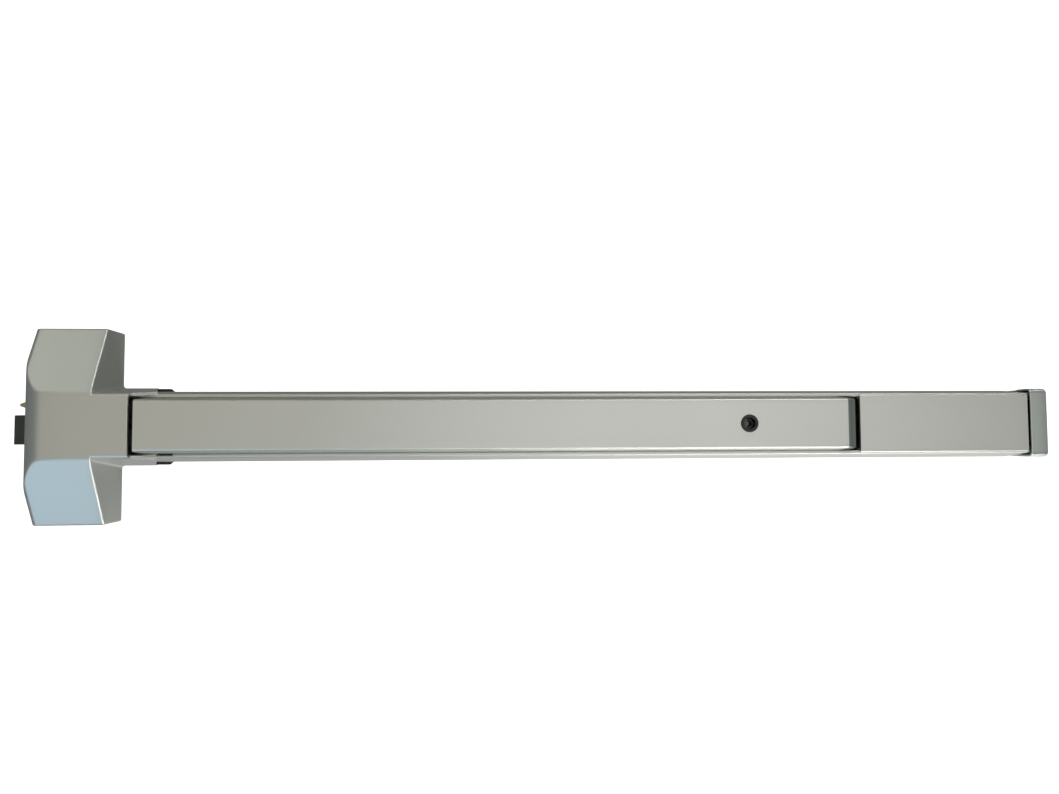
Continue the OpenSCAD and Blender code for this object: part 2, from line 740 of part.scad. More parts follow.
module crank_bracket(x) {
    foot_z = 18.5;
    top_d = pivot_d + 6;
    color(ZINC) difference() {
        union() {
            block([x - ear_half_w, x + ear_half_w], [rail_floor_d, bracket_top_d], [-foot_z, foot_z]);
            mirrored_z() along_z(ear_z0, ear_z1) {
                translate([x - ear_half_w, rail_floor_d])
                    square([2 * ear_half_w, pivot_d - rail_floor_d]);
                arm([x, pivot_d], top_d - pivot_d, [x, pivot_d - 1], top_d - pivot_d);
            }
        }
        translate([x, -pivot_d, -foot_z]) cylinder(h = 2 * foot_z, r = pivot_pin_r + pin_gap / 2, $fn = 48);
        for (z = [-1, 1]) off_door(rail_floor_d - eps, bracket_top_d + eps) disc([x, z * 14.5], rivet_r + pin_gap);
    }
}

module crank_bracket_head() { crank_bracket(crank_head_x); }
module crank_bracket_far() { crank_bracket(crank_far_x); }

// Headed pins, one through each crank bracket
module pivot_pins() {
    head_t = 1.2;
    color(ZINC) for (x = [crank_head_x, crank_far_x]) translate([x, -pivot_d, 0]) {
        translate([0, 0, -ear_z1 - 1]) cylinder(h = 2 * ear_z1 + 2, r = pivot_pin_r, $fn = 48);
        for (side = [0, 1]) mirror([0, 0, side])
            translate([0, 0, ear_z1 + 0.1]) cylinder(h = head_t, r = pivot_pin_r + 1.4, $fn = 48);
    }
}

// The crank is a fork: two bell-crank plates joined by a hub round the pivot pin
module crank(x) {
    pivot = [x, pivot_d];
    push_eye = [x + push_pin_dx, push_pin_d];
    rod_eye = [x + rod_pin_dx, rod_pin_d];
    color(DARK_NICKEL) difference() {
        union() {
            mirrored_z() along_z(crank_z0, crank_z1) {
                arm(pivot, crank_hub_r, push_eye, push_pin_r + 2.2);
                arm(pivot, crank_hub_r, rod_eye, rod_pin_r + 2.2);
            }
            along_z(-crank_z1, crank_z1) disc(pivot, crank_hub_r - 0.8);
        }
        along_z(-crank_z1 - eps, crank_z1 + eps) {
            disc(pivot, pivot_pin_r + pin_gap);
            disc(push_eye, push_pin_r + pin_gap / 2);
            disc(rod_eye, rod_pin_r + pin_gap / 2);
        }
    }
}

module crank_head() { crank(crank_head_x); }
module crank_far() { crank(crank_far_x); }

module crank_pins(x) {
    push_pin_z = carrier_z0 + carrier_t + 0.1;
    color(ZINC) {
        along_z(-push_pin_z, push_pin_z) disc([x + push_pin_dx, push_pin_d], push_pin_r);
        along_z(-crank_z1, crank_z1) disc([x + rod_pin_dx, rod_pin_d], rod_pin_r);
    }
}

module crank_head_pins() { crank_pins(crank_head_x); }
module crank_far_pins() { crank_pins(crank_far_x); }

spring_tab_t = 3;

module drawbar() {
    x0 = link_pin_x - 6;
    x1 = crank_far_x + rod_pin_dx + 9;
    slot_mid_d = pivot_d - (rod_arm + rod_arm * cos(half_angle)) / 2;
    slot_length = rod_arm * (1 - cos(half_angle)) + 2 * (rod_pin_r + link_gap);
    tab_z1 = return_spring_z + return_spring_r + 0.8;
    color(ZINC) difference() {
        union() {
            along_z(-drawbar_t / 2, drawbar_t / 2)
                polygon(rounded([[x0, drawbar_d0, 2], [x0, max(drawbar_d1, tail_d1), 2],
                    [x0 + 14, max(drawbar_d1, tail_d1), 2], [x0 + 18, drawbar_d1, 2],
                    [x1, drawbar_d1, 2], [x1, drawbar_d0, 2]]));
            // bent tab that the return spring pushes on
            block([return_spring_x0 - spring_tab_t, return_spring_x0],
                [drawbar_d0 + 1, drawbar_d1 - 1], [0, tab_z1]);
        }
        along_z(-drawbar_t, drawbar_t) {
            disc([link_pin_x, link_pin_d], link_pin_r + pin_gap);
            for (x = [crank_head_x, crank_far_x])
                slot_d([x + rod_pin_dx, slot_mid_d], slot_length, rod_pin_r + link_gap);
        }
        translate([return_spring_x0 - spring_tab_t - eps, -return_spring_d, return_spring_z])
            rotate([0, 90, 0]) cylinder(h = spring_tab_t + 2 * eps, r = spring_rod_r + 0.4, $fn = 48);
    }
}

// Riveted staples that hold the drawbar down and let it slide
module drawbar_guides() {
    leg_z0 = drawbar_t / 2 + slide_gap;
    leg_t = 2;
    bridge_d0 = drawbar_d1 + slide_gap;
    foot_z = guide_rivet_z + rivet_head_r + 0.6;
    color(ZINC) for (x = guide_xs) difference() {
        union() {
            block([x - 6, x + 6], [rail_floor_d, bracket_top_d], [-foot_z, foot_z]);
            mirrored_z() block([x - 6, x + 6], [rail_floor_d, bridge_d0 + leg_t], [leg_z0, leg_z0 + leg_t]);
            block([x - 6, x + 6], [bridge_d0, bridge_d0 + leg_t], [-leg_z0 - leg_t, leg_z0 + leg_t]);
        }
        for (z = [-1, 1]) off_door(rail_floor_d - eps, bracket_top_d + eps)
            disc([x, z * guide_rivet_z], rivet_r + pin_gap);
    }
}

return_spring_d = (drawbar_d0 + drawbar_d1) / 2;

module return_spring() {
    color(SPRING) translate([return_spring_x0 + 0.05, -return_spring_d, return_spring_z])
        coil(return_spring_length - 0.1, return_spring_r - 0.5, 0.5, 11);
}

// An upright with a guide rod for the return spring
module return_spring_post() {
    x0 = return_spring_x0 + return_spring_length;
    z0 = return_spring_z - 4.6;
    foot_z = 17 + rivet_head_r + 0.6;
    color(ZINC) difference() {
        union() {
            block([x0, x0 + 2], [rail_floor_d, drawbar_d1], [z0, return_spring_z + 4.6]);
            block([x0, x0 + 12], [rail_floor_d, bracket_top_d], [z0, foot_z]);
            translate([return_spring_x0 - spring_tab_t - 1, -return_spring_d, return_spring_z])
                rotate([0, 90, 0]) cylinder(h = return_spring_length + spring_tab_t + 2, r = spring_rod_r, $fn = 48);
        }
        off_door(rail_floor_d - eps, bracket_top_d + eps) disc([x0 + 7, 17], rivet_r + pin_gap);
    }
}

// ---- Latch -----------------------------------------------------------------------------------

module latch_windows(x0, x1, extra) {
    block([x0, x1], [latch_d0 - extra - slide_gap / 2, latch_d1 + extra + slide_gap / 2],
        [latch_z0 - slide_gap, latch_z1 + slide_gap]);
    block([x0, x1],
        [deadlatch_d - deadlatch_w / 2 - extra - slide_gap / 2, deadlatch_d + deadlatch_w / 2 + extra + slide_gap / 2],
        [deadlatch_z - deadlatch_height / 2 - slide_gap, deadlatch_z + deadlatch_height / 2 + slide_gap]);
}

// A cast guide screwed behind the windows: narrow at its face, so that the shoulders stop there
module latch_housing() {
    wall = 2.4;
    d1 = latch_d1 + shoulder + wall;
    step_x = housing_x0 + housing_face_t;
    color(DARK_NICKEL) difference() {
        block([housing_x0, housing_x1], [plate_t, d1],
            [latch_z0 - slide_gap - wall, deadlatch_z + deadlatch_height / 2 + slide_gap + wall]);
        latch_windows(housing_x0 - eps, step_x, 0);
        latch_windows(step_x, housing_x1 + eps, shoulder);
        // lightening pocket behind the guide, open to the plate
        block([step_x + 2, housing_x1 - 3], [plate_t - eps, latch_d0 - shoulder - wall],
            [latch_z0 + 1, latch_z1 - 1]);
    }
}

module latch_bolt() {
    nose = latch_t * 0.56;
    step_x = housing_x0 + housing_face_t + 0.1;
    tail_x1 = link_pin_x + 6;
    color(DARK_NICKEL) difference() {
        union() {
            // the front face slopes so that the closing door pushes the bolt in
            along_z(latch_z0, latch_z1) polygon(rounded([
                [latch_x0, latch_d0, 0.8], [latch_x0, latch_d0 + nose, 0.8],
                [head_x0 - 2, latch_d1, 1], [latch_x1, latch_d1, 0], [latch_x1, latch_d0, 0]]));
            block([step_x, latch_x1], [latch_d0 - shoulder, latch_d1 + shoulder], [latch_z0, latch_z1]);
            mirrored_z() along_z(crank_z0, crank_z1) polygon(rounded([
                [latch_x1 - 2, tail_d0, 0], [latch_x1 - 2, tail_d1, 0], [tail_x1, tail_d1, 2.5],
                [tail_x1, tail_d0, 2.5]]));
        }
        along_z(-crank_z1 - eps, crank_z1 + eps) disc([link_pin_x, link_pin_d], link_pin_r + pin_gap / 2);
        // blind hole for the spring's guide rod
        translate([latch_x1 - latch_throw - 2.5, -latch_d, latch_spring_z]) rotate([0, 90, 0])
            cylinder(h = latch_throw + 2.5 + eps, r = spring_rod_r + 0.4, $fn = 48);
    }
}

module latch_link_pin() {
    color(ZINC) along_z(-crank_z1 - 0.4, crank_z1 + 0.4) disc([link_pin_x, link_pin_d], link_pin_r);
}

module latch_spring() {
    color(SPRING) translate([latch_x1 + 0.05, -latch_d, latch_spring_z])
        coil(stop_x0 - latch_x1 - 0.1, 2.9, 0.5, 9);
}

module deadlatch() {
    half = deadlatch_height / 2;
    tip_x = head_x0 - deadlatch_throw;
    step_x = housing_x0 + housing_face_t + 0.1;
    d0 = deadlatch_d - deadlatch_w / 2;
    d1 = deadlatch_d + deadlatch_w / 2;
    color(TAN_STEEL) difference() {
        union() {
            // the finger narrows to a blunt point
            off_door(d0, d1) polygon(rounded([
                [deadlatch_x1, deadlatch_z - half, 0], [deadlatch_x1, deadlatch_z + half, 0],
                [tip_x + 4, deadlatch_z + half, 1.2], [tip_x, deadlatch_z + half * 0.4, 0.5],
                [tip_x, deadlatch_z - half * 0.4, 0.5], [tip_x + 4, deadlatch_z - half, 1.2]]));
            block([step_x, deadlatch_x1], [d0 - shoulder, d1 + shoulder],
                [deadlatch_z - half, deadlatch_z + half]);
        }
        translate([deadlatch_x1 - 14, -deadlatch_d, deadlatch_z]) rotate([0, 90, 0])
            cylinder(h = 14 + eps, r = deadlatch_rod_r + 0.3, $fn = 48);
    }
}

deadlatch_rod_r = 0.8;

module deadlatch_spring() {
    color(SPRING) translate([deadlatch_x1 + 0.05, -deadlatch_d, deadlatch_z])
        coil(stop_x0 - deadlatch_x1 - 0.1, 1.7, 0.35, 9);
}

// A bent plate that both latch springs push against, with their guide rods
module spring_stop() {
    top_z = deadlatch_z + 4.5;
    color(ZINC) {
        block([housing_x1 + 1.5, stop_x1], [plate_t, plate_t + 2], [latch_z0, top_z]);
        block([stop_x0, stop_x1], [plate_t, latch_d1 - 1], [latch_z0, -crank_z1 - 1.2]);
        block([stop_x0, stop_x1], [plate_t, latch_d1 - 1], [deadlatch_z - 4, top_z]);
        translate([latch_x1 - 1, -latch_d, latch_spring_z]) rotate([0, 90, 0])
            cylinder(h = stop_x1 - latch_x1, r = spring_rod_r, $fn = 48);
        translate([deadlatch_x1 - 1, -deadlatch_d, deadlatch_z]) rotate([0, 90, 0])
            cylinder(h = stop_x1 - deadlatch_x1, r = deadlatch_rod_r, $fn = 48);
    }
}

// ---- Dogging ---------------------------------------------------------------------------------

grommet_neck_r = grommet_r - 1;
grommet_hole_r = spindle_r + 0.6;

module dog_grommet() {
    color(BLACK) translate([dog_x, 0, 0]) difference() {
        union() {
            off_door(bar_front_d, bar_front_d + 0.9) disc([0, 0], grommet_r);
            off_door(bar_inner_d - 1.5, bar_front_d + 0.4) disc([0, 0], grommet_neck_r);
        }
        off_door(bar_inner_d - 1.5 - eps, bar_front_d + 0.9 + eps) disc([0, 0], grommet_hole_r);
    }
}

// A bridge riveted inside the bar that carries the spindle
module dog_bracket() {
    leg_x = 13;
    // the feet end before the far push carrier, however long the cranks' arms are
    foot_x = min(leg_x + 8, crank_far_x + carrier_mid_dx - carrier_half_x - dog_x - 0.5);
    half_z = 9;
    d0 = dog_plate_d1 - dog_plate_t;
    // a hat section: half of its outline from the foot's end to the plate, then back inside
    half = [
        [foot_x, bar_inner_d], [foot_x, bar_inner_d - bracket_t], [leg_x, bar_inner_d - bracket_t], [leg_x, d0]];
    inner = [[leg_x - dog_plate_t, dog_plate_d1], [leg_x - dog_plate_t, bar_inner_d]];
    color(ZINC) difference() {
        translate([dog_x, 0, 0]) along_z(-half_z, half_z) polygon(concat(
            half, [for (i = [3:-1:0]) [-half[i][0], half[i][1]]],
            [for (i = [1:-1:0]) [-inner[i][0], inner[i][1]]], inner));
        off_door(d0 - eps, dog_plate_d1 + eps) disc([dog_x, 0], spindle_r + pin_gap);
        for (side = [-1, 1]) off_door(bar_inner_d - bracket_t - eps, bar_inner_d + eps)
            disc([dog_x + side * dog_rivet_dx, 0], rivet_r + pin_gap);
    }
}

ring_t = 1;
ring_groove_r = spindle_r - 0.7;
ring_d1 = dog_plate_d1 - dog_plate_t - 0.15;

// The dogging screw: a flanged spindle with a hexagon socket, and a tee that locks under the keeper
module dog_spindle() {
    top_d = bar_inner_d - 2;
    socket_depth = 8;
    color(DARK_NICKEL) translate([dog_x, 0, 0]) difference() {
        union() {
            off_door(ring_d1 - ring_t - 2, top_d) disc([0, 0], spindle_r);
            off_door(dog_plate_d1 + 0.1, dog_plate_d1 + 1.9) disc([0, 0], spindle_r + 2.2);
            off_door(tee_d0, ring_d1 - ring_t - 1) disc([0, 0], spindle_neck_r);
            off_door(tee_d0, tee_d1) square([2 * tee_half, 2 * spindle_neck_r - 0.4], center = true);
        }
        off_door(top_d - socket_depth, top_d + eps) circle(hex_af / 2 / cos(30), $fn = 6);
        // groove for the retaining ring
        off_door(ring_d1 - ring_t, ring_d1) difference() {
            disc([0, 0], spindle_r + eps);
            disc([0, 0], ring_groove_r);
        }
    }
}

module dog_retaining_ring() {
    color(SPRING) translate([dog_x, 0, 0]) off_door(ring_d1 - ring_t + 0.05, ring_d1 - 0.05) difference() {
        disc([0, 0], spindle_r + 2);
        disc([0, 0], ring_groove_r + pin_gap);
        translate([-1.2, 0]) square([2.4, spindle_r * 2]);
    }
}

// A fixed bridge over the drawbar; the tee passes its slot one way and is held the other way
module dog_keeper() {
    leg_z = 15;
    half_x = 11;
    foot_z = 21 + rivet_head_r + 0.6;
    color(ZINC) difference() {
        union() {
            block([dog_x - half_x, dog_x + half_x], [keeper_d0, keeper_d1], [-leg_z, leg_z]);
            mirrored_z() {
                block([dog_x - half_x, dog_x + half_x], [rail_floor_d, keeper_d1], [leg_z - 2, leg_z]);
                block([dog_x - half_x, dog_x + half_x], [rail_floor_d, bracket_top_d], [leg_z - 2, foot_z]);
            }
        }
        off_door(keeper_d0 - eps, keeper_d1 + eps)
            square_at([dog_x, 0], [2 * tee_half + 3, 2 * spindle_neck_r + 1]);
        for (z = [-1, 1]) off_door(rail_floor_d - eps, bracket_top_d + eps)
            disc([dog_x, z * 21], rivet_r + pin_gap);
    }
}

// ---- Assembly --------------------------------------------------------------------------------

chassis_plate();
head_cover();
head_cover_screws();
rail();
rail_screws();
filler_cover();
end_bracket();
end_cap();
end_cap_screw();
push_bar();
push_bar_head_plug();
push_bar_end_plug();
push_carrier_head();
push_carrier_far();
push_bar_rivets();
bar_glide();
crank_bracket_head();
crank_bracket_far();
pivot_pins();
crank_head();
crank_head_pins();
crank_far();
crank_far_pins();
drawbar();
drawbar_guides();
rail_rivets();
return_spring();
return_spring_post();
latch_housing();
latch_bolt();
latch_link_pin();
latch_spring();
deadlatch();
deadlatch_spring();
spring_stop();
dog_grommet();
dog_bracket();
dog_spindle();
dog_retaining_ring();
dog_keeper();
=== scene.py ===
# %% [markdown]
# # A panic exit bar
#
# A panic exit bar crosses an outward-opening door at waist height. Pressing the long bar
# draws a latch back, so that a crowd can leave without turning a handle.
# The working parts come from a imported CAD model. This lesson keeps them where they are, replaces
# the pieces that the eye lands on with smoother surfaces, and gives every part its finish.
# All sizes are in metres. +X runs from the latch to the end cap, +Z is up, and the door is the
# plane Y = 0. A distance off the door is called d, so a point stands at Y = -d.

# %% Load the frame
import json
import math

import bmesh
import bpy
import numpy as np
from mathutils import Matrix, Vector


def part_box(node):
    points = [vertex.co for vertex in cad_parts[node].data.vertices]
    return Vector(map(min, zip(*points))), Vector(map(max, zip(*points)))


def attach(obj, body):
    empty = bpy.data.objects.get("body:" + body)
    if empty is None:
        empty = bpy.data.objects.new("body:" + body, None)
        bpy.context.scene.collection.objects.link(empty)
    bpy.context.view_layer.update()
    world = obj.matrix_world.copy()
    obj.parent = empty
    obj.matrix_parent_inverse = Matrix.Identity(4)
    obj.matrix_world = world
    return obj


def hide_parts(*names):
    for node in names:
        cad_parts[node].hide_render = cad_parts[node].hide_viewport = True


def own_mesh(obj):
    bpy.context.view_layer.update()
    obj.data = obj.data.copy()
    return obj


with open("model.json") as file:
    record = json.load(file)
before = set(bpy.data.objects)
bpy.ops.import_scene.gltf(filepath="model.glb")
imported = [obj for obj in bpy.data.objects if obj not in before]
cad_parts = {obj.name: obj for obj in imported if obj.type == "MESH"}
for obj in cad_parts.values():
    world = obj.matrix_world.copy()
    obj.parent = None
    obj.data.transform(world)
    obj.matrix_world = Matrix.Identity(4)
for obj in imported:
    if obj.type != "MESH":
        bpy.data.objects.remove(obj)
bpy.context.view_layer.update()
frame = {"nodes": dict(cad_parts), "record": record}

nodes = frame["nodes"]
MM = 0.001

# %% [markdown]
# ## The camera
#
# A camera can be aimed with a Track To constraint or by its rotation angles. Here three small
# angles are enough, because it stands nearly square to the door: the matrix is put together from
# the direction it looks in and the direction that is up for it, turned a little by its roll.

# %% The camera
camera_place = np.array([0.3312, -0.71945, -0.0113])
yaw, pitch, roll = 0.0626, 0.0503, -0.0048

look = np.array([math.sin(yaw) * math.cos(pitch), math.cos(yaw) * math.cos(pitch), math.sin(pitch)])
level_right = np.array([math.cos(yaw), -math.sin(yaw), 0.0])
level_up = np.cross(level_right, look)
right = math.cos(roll) * level_right + math.sin(roll) * level_up
up = math.cos(roll) * level_up - math.sin(roll) * level_right

camera_matrix = np.eye(4)
camera_matrix[:3, 0], camera_matrix[:3, 1], camera_matrix[:3, 2] = right, up, -look
camera_matrix[:3, 3] = camera_place

scene = bpy.context.scene
camera_data = bpy.data.cameras.new("camera")
camera_data.sensor_fit = "HORIZONTAL"
camera_data.sensor_width = 36.0
camera_data.lens = 27.85
camera = bpy.data.objects.new("camera", camera_data)
scene.collection.objects.link(camera)
camera.matrix_world = camera_matrix.T.tolist()
scene.camera = camera
scene.view_settings.view_transform = "Standard"
print("camera stands", round(-camera_place[1], 3), "m in front of the door's plane")

# %% [markdown]
# ## Surfaces from grids
#
# Each new piece is a grid of points: one direction runs along the piece, the other across or round
# it. numpy works out the whole array at once, and neighbours in the grid are joined by quads.
# Small helpers do the rest. The first turns an outline with radii at its corners into a fine row
# of points. finish_piece makes a Blender piece from points and faces, on its moving body, and
# carried and turned call it for outlines carried along the bar and for profiles turned round an
# axis. soften rounds the edges that are left sharp.

# %% Helpers for outlines and grids
ARC_STEPS = 10  # steps of the arc at a rounded corner
SAME_POINT = 1e-8  # outline points nearer than this are one point
MERGE_DISTANCE, THIN_EDGE = 2e-6, 1e-6


def rounded(corners):
    """A closed outline with its corners rounded. A corner is (a, b, radius). Its arc's centre lies
    on the line that halves the angle, radius / sin(half the angle) from the corner, and the
    arc turns from one tangent point to the other in equal steps."""
    q = np.array(corners, float)
    at, r = q[:, :2], q[:, 2]
    back = np.roll(at, 1, 0) - at
    ahead = np.roll(at, -1, 0) - at
    back /= np.linalg.norm(back, axis=1)[:, None]
    ahead /= np.linalg.norm(ahead, axis=1)[:, None]
    half = np.arccos(np.clip((back * ahead).sum(1), -1, 1)) / 2
    middle = back + ahead
    middle /= np.maximum(np.linalg.norm(middle, axis=1), 1e-12)[:, None]
    centre = at + middle * (r / np.sin(half))[:, None]
    start = at + back * (r / np.tan(half))[:, None] - centre
    end = at + ahead * (r / np.tan(half))[:, None] - centre
    first = np.arctan2(start[:, 1], start[:, 0])
    turn = np.arctan2(end[:, 1], end[:, 0]) - first
    turn = (turn + np.pi) % (2 * np.pi) - np.pi
    angle = first[:, None] + turn[:, None] * np.linspace(0, 1, ARC_STEPS + 1)
    points = centre[:, None] + r[:, None, None] * np.stack([np.cos(angle), np.sin(angle)], -1)
    points = points.reshape(-1, 2)
    return points[np.linalg.norm(points - np.roll(points, 1, 0), axis=1) > SAME_POINT]


def grid_faces(rows, columns, closed=False):
    """Quads between neighbours of a grid: point (row, column) has number row * columns + column.
    A closed grid joins its last column to its first."""
    row, column = np.meshgrid(
        np.arange(rows - 1), np.arange(columns if closed else columns - 1), indexing="ij")
    a = row * columns + column
    b = row * columns + (column + 1) % columns
    return np.stack([a, b, b + columns, a + columns], -1).reshape(-1, 4)


def standing(x, d, z):
    """Stacks along-the-bar, off-the-door and height arrays into points."""
    x, d, z = np.broadcast_arrays(x, d, z)
    return np.stack([x, -d, z], -1)


def finish_piece(name, points, faces, material, body, replaced, sharp=35, ends=()):
    """Makes a mesh, merges its doubles, turns its faces outwards and puts it on its body."""
    mesh = bpy.data.meshes.new(name)
    mesh.from_pydata(points.reshape(-1, 3).tolist(), [], faces.tolist() + [list(e) for e in ends])
    work = bmesh.new()
    work.from_mesh(mesh)
    bmesh.ops.remove_doubles(work, verts=work.verts, dist=MERGE_DISTANCE)
    bmesh.ops.dissolve_degenerate(work, edges=work.edges, dist=THIN_EDGE)
    bmesh.ops.recalc_face_normals(work, faces=work.faces)
    work.to_mesh(mesh)
    work.free()
    mesh.shade_smooth()
    mesh.set_sharp_from_angle(angle=math.radians(sharp))
    mesh.materials.append(material)
    piece = bpy.data.objects.new(name, mesh)
    scene.collection.objects.link(piece)
    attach(piece, body)
    if replaced:
        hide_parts(replaced)
    print(name, len(mesh.polygons), "faces")
    return piece


def carried(name, outlines, x, material, body, replaced, sharp=35):
    """A closed outline carried along the bar: point (i, j) is outline point j at station x[i].
    The two ends are closed with one flat face each."""
    outlines = np.broadcast_to(outlines, (len(x),) + np.shape(outlines)[-2:])
    rows, columns = outlines.shape[:2]
    points = standing(np.asarray(x)[:, None], outlines[..., 1], outlines[..., 0])
    ends = [range(columns), range((rows - 1) * columns, rows * columns)]
    return finish_piece(name, points, grid_faces(rows, columns, True), material, body,
                        replaced, sharp, ends)


def turned(name, profile, centre, material, body, replaced, sides=64):
    """A profile turned round an axis that points off the door: the point at radius r, distance d
    and angle t is centre + (r cos t, r sin t) along the bar and up, at d off the door."""
    r, d = np.array(profile, float).T
    t = np.linspace(0, 2 * np.pi, sides, endpoint=False)
    points = standing(centre[0] + r[:, None] * np.cos(t), d[:, None],
                      centre[1] + r[:, None] * np.sin(t))
    return finish_piece(name, points, grid_faces(len(r), sides, True), material, body,
                        replaced)


def soften(piece, width, angle=40):
    """Rounds the piece's sharp edges a little, so that they catch the light."""
    bevel = piece.modifiers.new("soft edges", "BEVEL")
    bevel.width = width
    bevel.segments = 3
    bevel.limit_method = "ANGLE"
    bevel.angle_limit = math.radians(angle)
    bevel.use_clamp_overlap = True


# %% [markdown]
# ## Effects that several finishes share
#
# A shader node group is a small machine with named inputs that any material can use. Four are
# enough for this hardware. Grain gives the fine mottling of paint and plating. Draw lines give
# the long faint lines that a die leaves on an extrusion. The edge mask finds the edges by comparing
# the surface's own normal with one that is rounded off; it paints rubbed edges, and on the cast
# cover near-white painted highlight lines along the edges. Dust settles on faces that look up.

# %% Node groups
def new_group(name, inputs, outputs):
    """Starts a node group. Inputs are (name, default) and outputs are names of values."""
    group = bpy.data.node_groups.new(name, "ShaderNodeTree")
    for label, default in inputs:
        socket = group.interface.new_socket(label, in_out="INPUT", socket_type="NodeSocketFloat")
        socket.default_value = default
    for label in outputs:
        group.interface.new_socket(label, in_out="OUTPUT", socket_type="NodeSocketFloat")
    return group, group.nodes.new("NodeGroupInput"), group.nodes.new("NodeGroupOutput")


def math_node(tree, operation, *values, clamp=False):
    """A Math node. Each value is a number or another node's output socket."""
    node = tree.nodes.new("ShaderNodeMath")
    node.operation = operation
    node.use_clamp = clamp
    for socket, value in zip(node.inputs, values):
        if isinstance(value, bpy.types.NodeSocket):
            tree.links.new(value, socket)
        else:
            socket.default_value = value
    return node.outputs[0]


def noise_node(tree, scale, stretch=(1, 1, 1), detail=4.0, rough=0.55):
    """Noise on Object coordinates. A stretch below 1 draws the pattern out along that axis."""
    place = tree.nodes.new("ShaderNodeTexCoord").outputs["Object"]
    mapping = tree.nodes.new("ShaderNodeMapping")
    mapping.inputs["Scale"].default_value = stretch
    noise = tree.nodes.new("ShaderNodeTexNoise")
    noise.inputs["Detail"].default_value = detail
    noise.inputs["Roughness"].default_value = rough
    tree.links.new(place, mapping.inputs["Vector"])
    tree.links.new(mapping.outputs["Vector"], noise.inputs["Vector"])
    if isinstance(scale, bpy.types.NodeSocket):
        tree.links.new(scale, noise.inputs["Scale"])
    else:
        noise.inputs["Scale"].default_value = scale
    return noise.outputs["Fac"]


def make_grain():
    """Fine noise for the height, and slow clouds for colour and gloss."""
    group, given, out = new_group("grain", [("Scale", 900.0), ("Cloud scale", 9.0)],
                                  ["Height", "Clouds"])
    group.links.new(noise_node(group, given.outputs["Scale"], detail=3), out.inputs["Height"])
    group.links.new(noise_node(group, given.outputs["Cloud scale"], detail=5), out.inputs["Clouds"])
    return group


DRAWN_OUT = (0.001, 1, 1)


def make_draw_lines():
    """Noise drawn out along the bar, so that it becomes long thin lines."""
    group, given, out = new_group("draw lines", [("Scale", 1200.0)], ["Lines"])
    group.links.new(noise_node(group, given.outputs["Scale"], stretch=DRAWN_OUT, detail=1),
                    out.inputs["Lines"])
    return group


EDGE_GAIN = 9.0
PATCH_CONTRAST, PATCH_OFFSET = 2.4, -0.7


def make_edge_wear_and_highlight():
    """1 where the rounded-off normal turns away from the true one, broken up by noise. It marks
    rubbed edges, and on the cast cover it paints highlight lines along the edges.
    """
    group, given, out = new_group(
        "edge wear", [("Radius", 0.0008), ("Amount", 1.0), ("Break up", 260.0)], ["Mask"])
    bevel = group.nodes.new("ShaderNodeBevel")
    bevel.samples = 4
    group.links.new(given.outputs["Radius"], bevel.inputs["Radius"])
    true = group.nodes.new("ShaderNodeNewGeometry").outputs["Normal"]
    dot = group.nodes.new("ShaderNodeVectorMath")
    dot.operation = "DOT_PRODUCT"
    group.links.new(bevel.outputs["Normal"], dot.inputs[0])
    group.links.new(true, dot.inputs[1])
    turned_away = math_node(group, "SUBTRACT", 1.0, dot.outputs["Value"])
    edge = math_node(group, "MULTIPLY", turned_away, EDGE_GAIN, clamp=True)
    patches = noise_node(group, given.outputs["Break up"])
    broken = math_node(group, "MULTIPLY_ADD", patches, PATCH_CONTRAST, PATCH_OFFSET, clamp=True)
    worn_and_highlight = math_node(group, "MULTIPLY", edge, broken)
    group.links.new(math_node(group, "MULTIPLY", worn_and_highlight, given.outputs["Amount"], clamp=True),
                    out.inputs["Mask"])
    return group


UP_GAIN, UP_OFFSET = 1.4, -0.3
DUST_PATCHES = 60.0


def make_dust():
    """Dust lies where the surface looks up, thicker in some places than others."""
    group, given, out = new_group("dust", [("Amount", 0.3)], ["Mask"])
    coordinates = group.nodes.new("ShaderNodeTexCoord")
    parts = group.nodes.new("ShaderNodeSeparateXYZ")
    group.links.new(coordinates.outputs["Normal"], parts.inputs[0])
    looks_up = math_node(group, "MULTIPLY_ADD", parts.outputs["Z"], UP_GAIN, UP_OFFSET,
                         clamp=True)
    patchy = math_node(group, "MULTIPLY", looks_up, noise_node(group, DUST_PATCHES, detail=6))
    group.links.new(math_node(group, "MULTIPLY", patchy, given.outputs["Amount"], clamp=True),
                    out.inputs["Mask"])
    return group


GRAIN, DRAW_LINES, EDGE_WEAR_AND_HIGHLIGHT, DUST = make_grain(), make_draw_lines(), make_edge_wear_and_highlight(), make_dust()
print("node groups:", ", ".join(g.name for g in (GRAIN, DRAW_LINES, EDGE_WEAR_AND_HIGHLIGHT, DUST)))

# %% [markdown]
# ## Finishes
#
# Every finish on this hardware is built the same way, with its own numbers: a base colour that
# drifts a little, edges rubbed down to the metal below, a trace of dust, and a roughness and a
# bump that follow the same grain. On the cast cover the edge colour is near-white and spread wide,
# so it is painted highlight along the edges as well as rubbing. A builder function keeps them
# alike.
# A colour is given as it should look, in the everyday 0 to 255 scale, and turned into the linear
# values that the shader wants.

# %% Materials
def linear(r, g, b):
    """From display values, 0 to 255, to linear light, by the power 2.2."""
    return tuple((c / 255) ** 2.2 for c in (r, g, b)) + (1.0,)


DUST_COLOUR = (150, 145, 134)
CLOUD_GLOSS, DUST_GLOSS, LINE_GLOSS = 0.12, 0.3, 0.08  # how much each adds to the roughness
BUMP_STRENGTH = 0.5


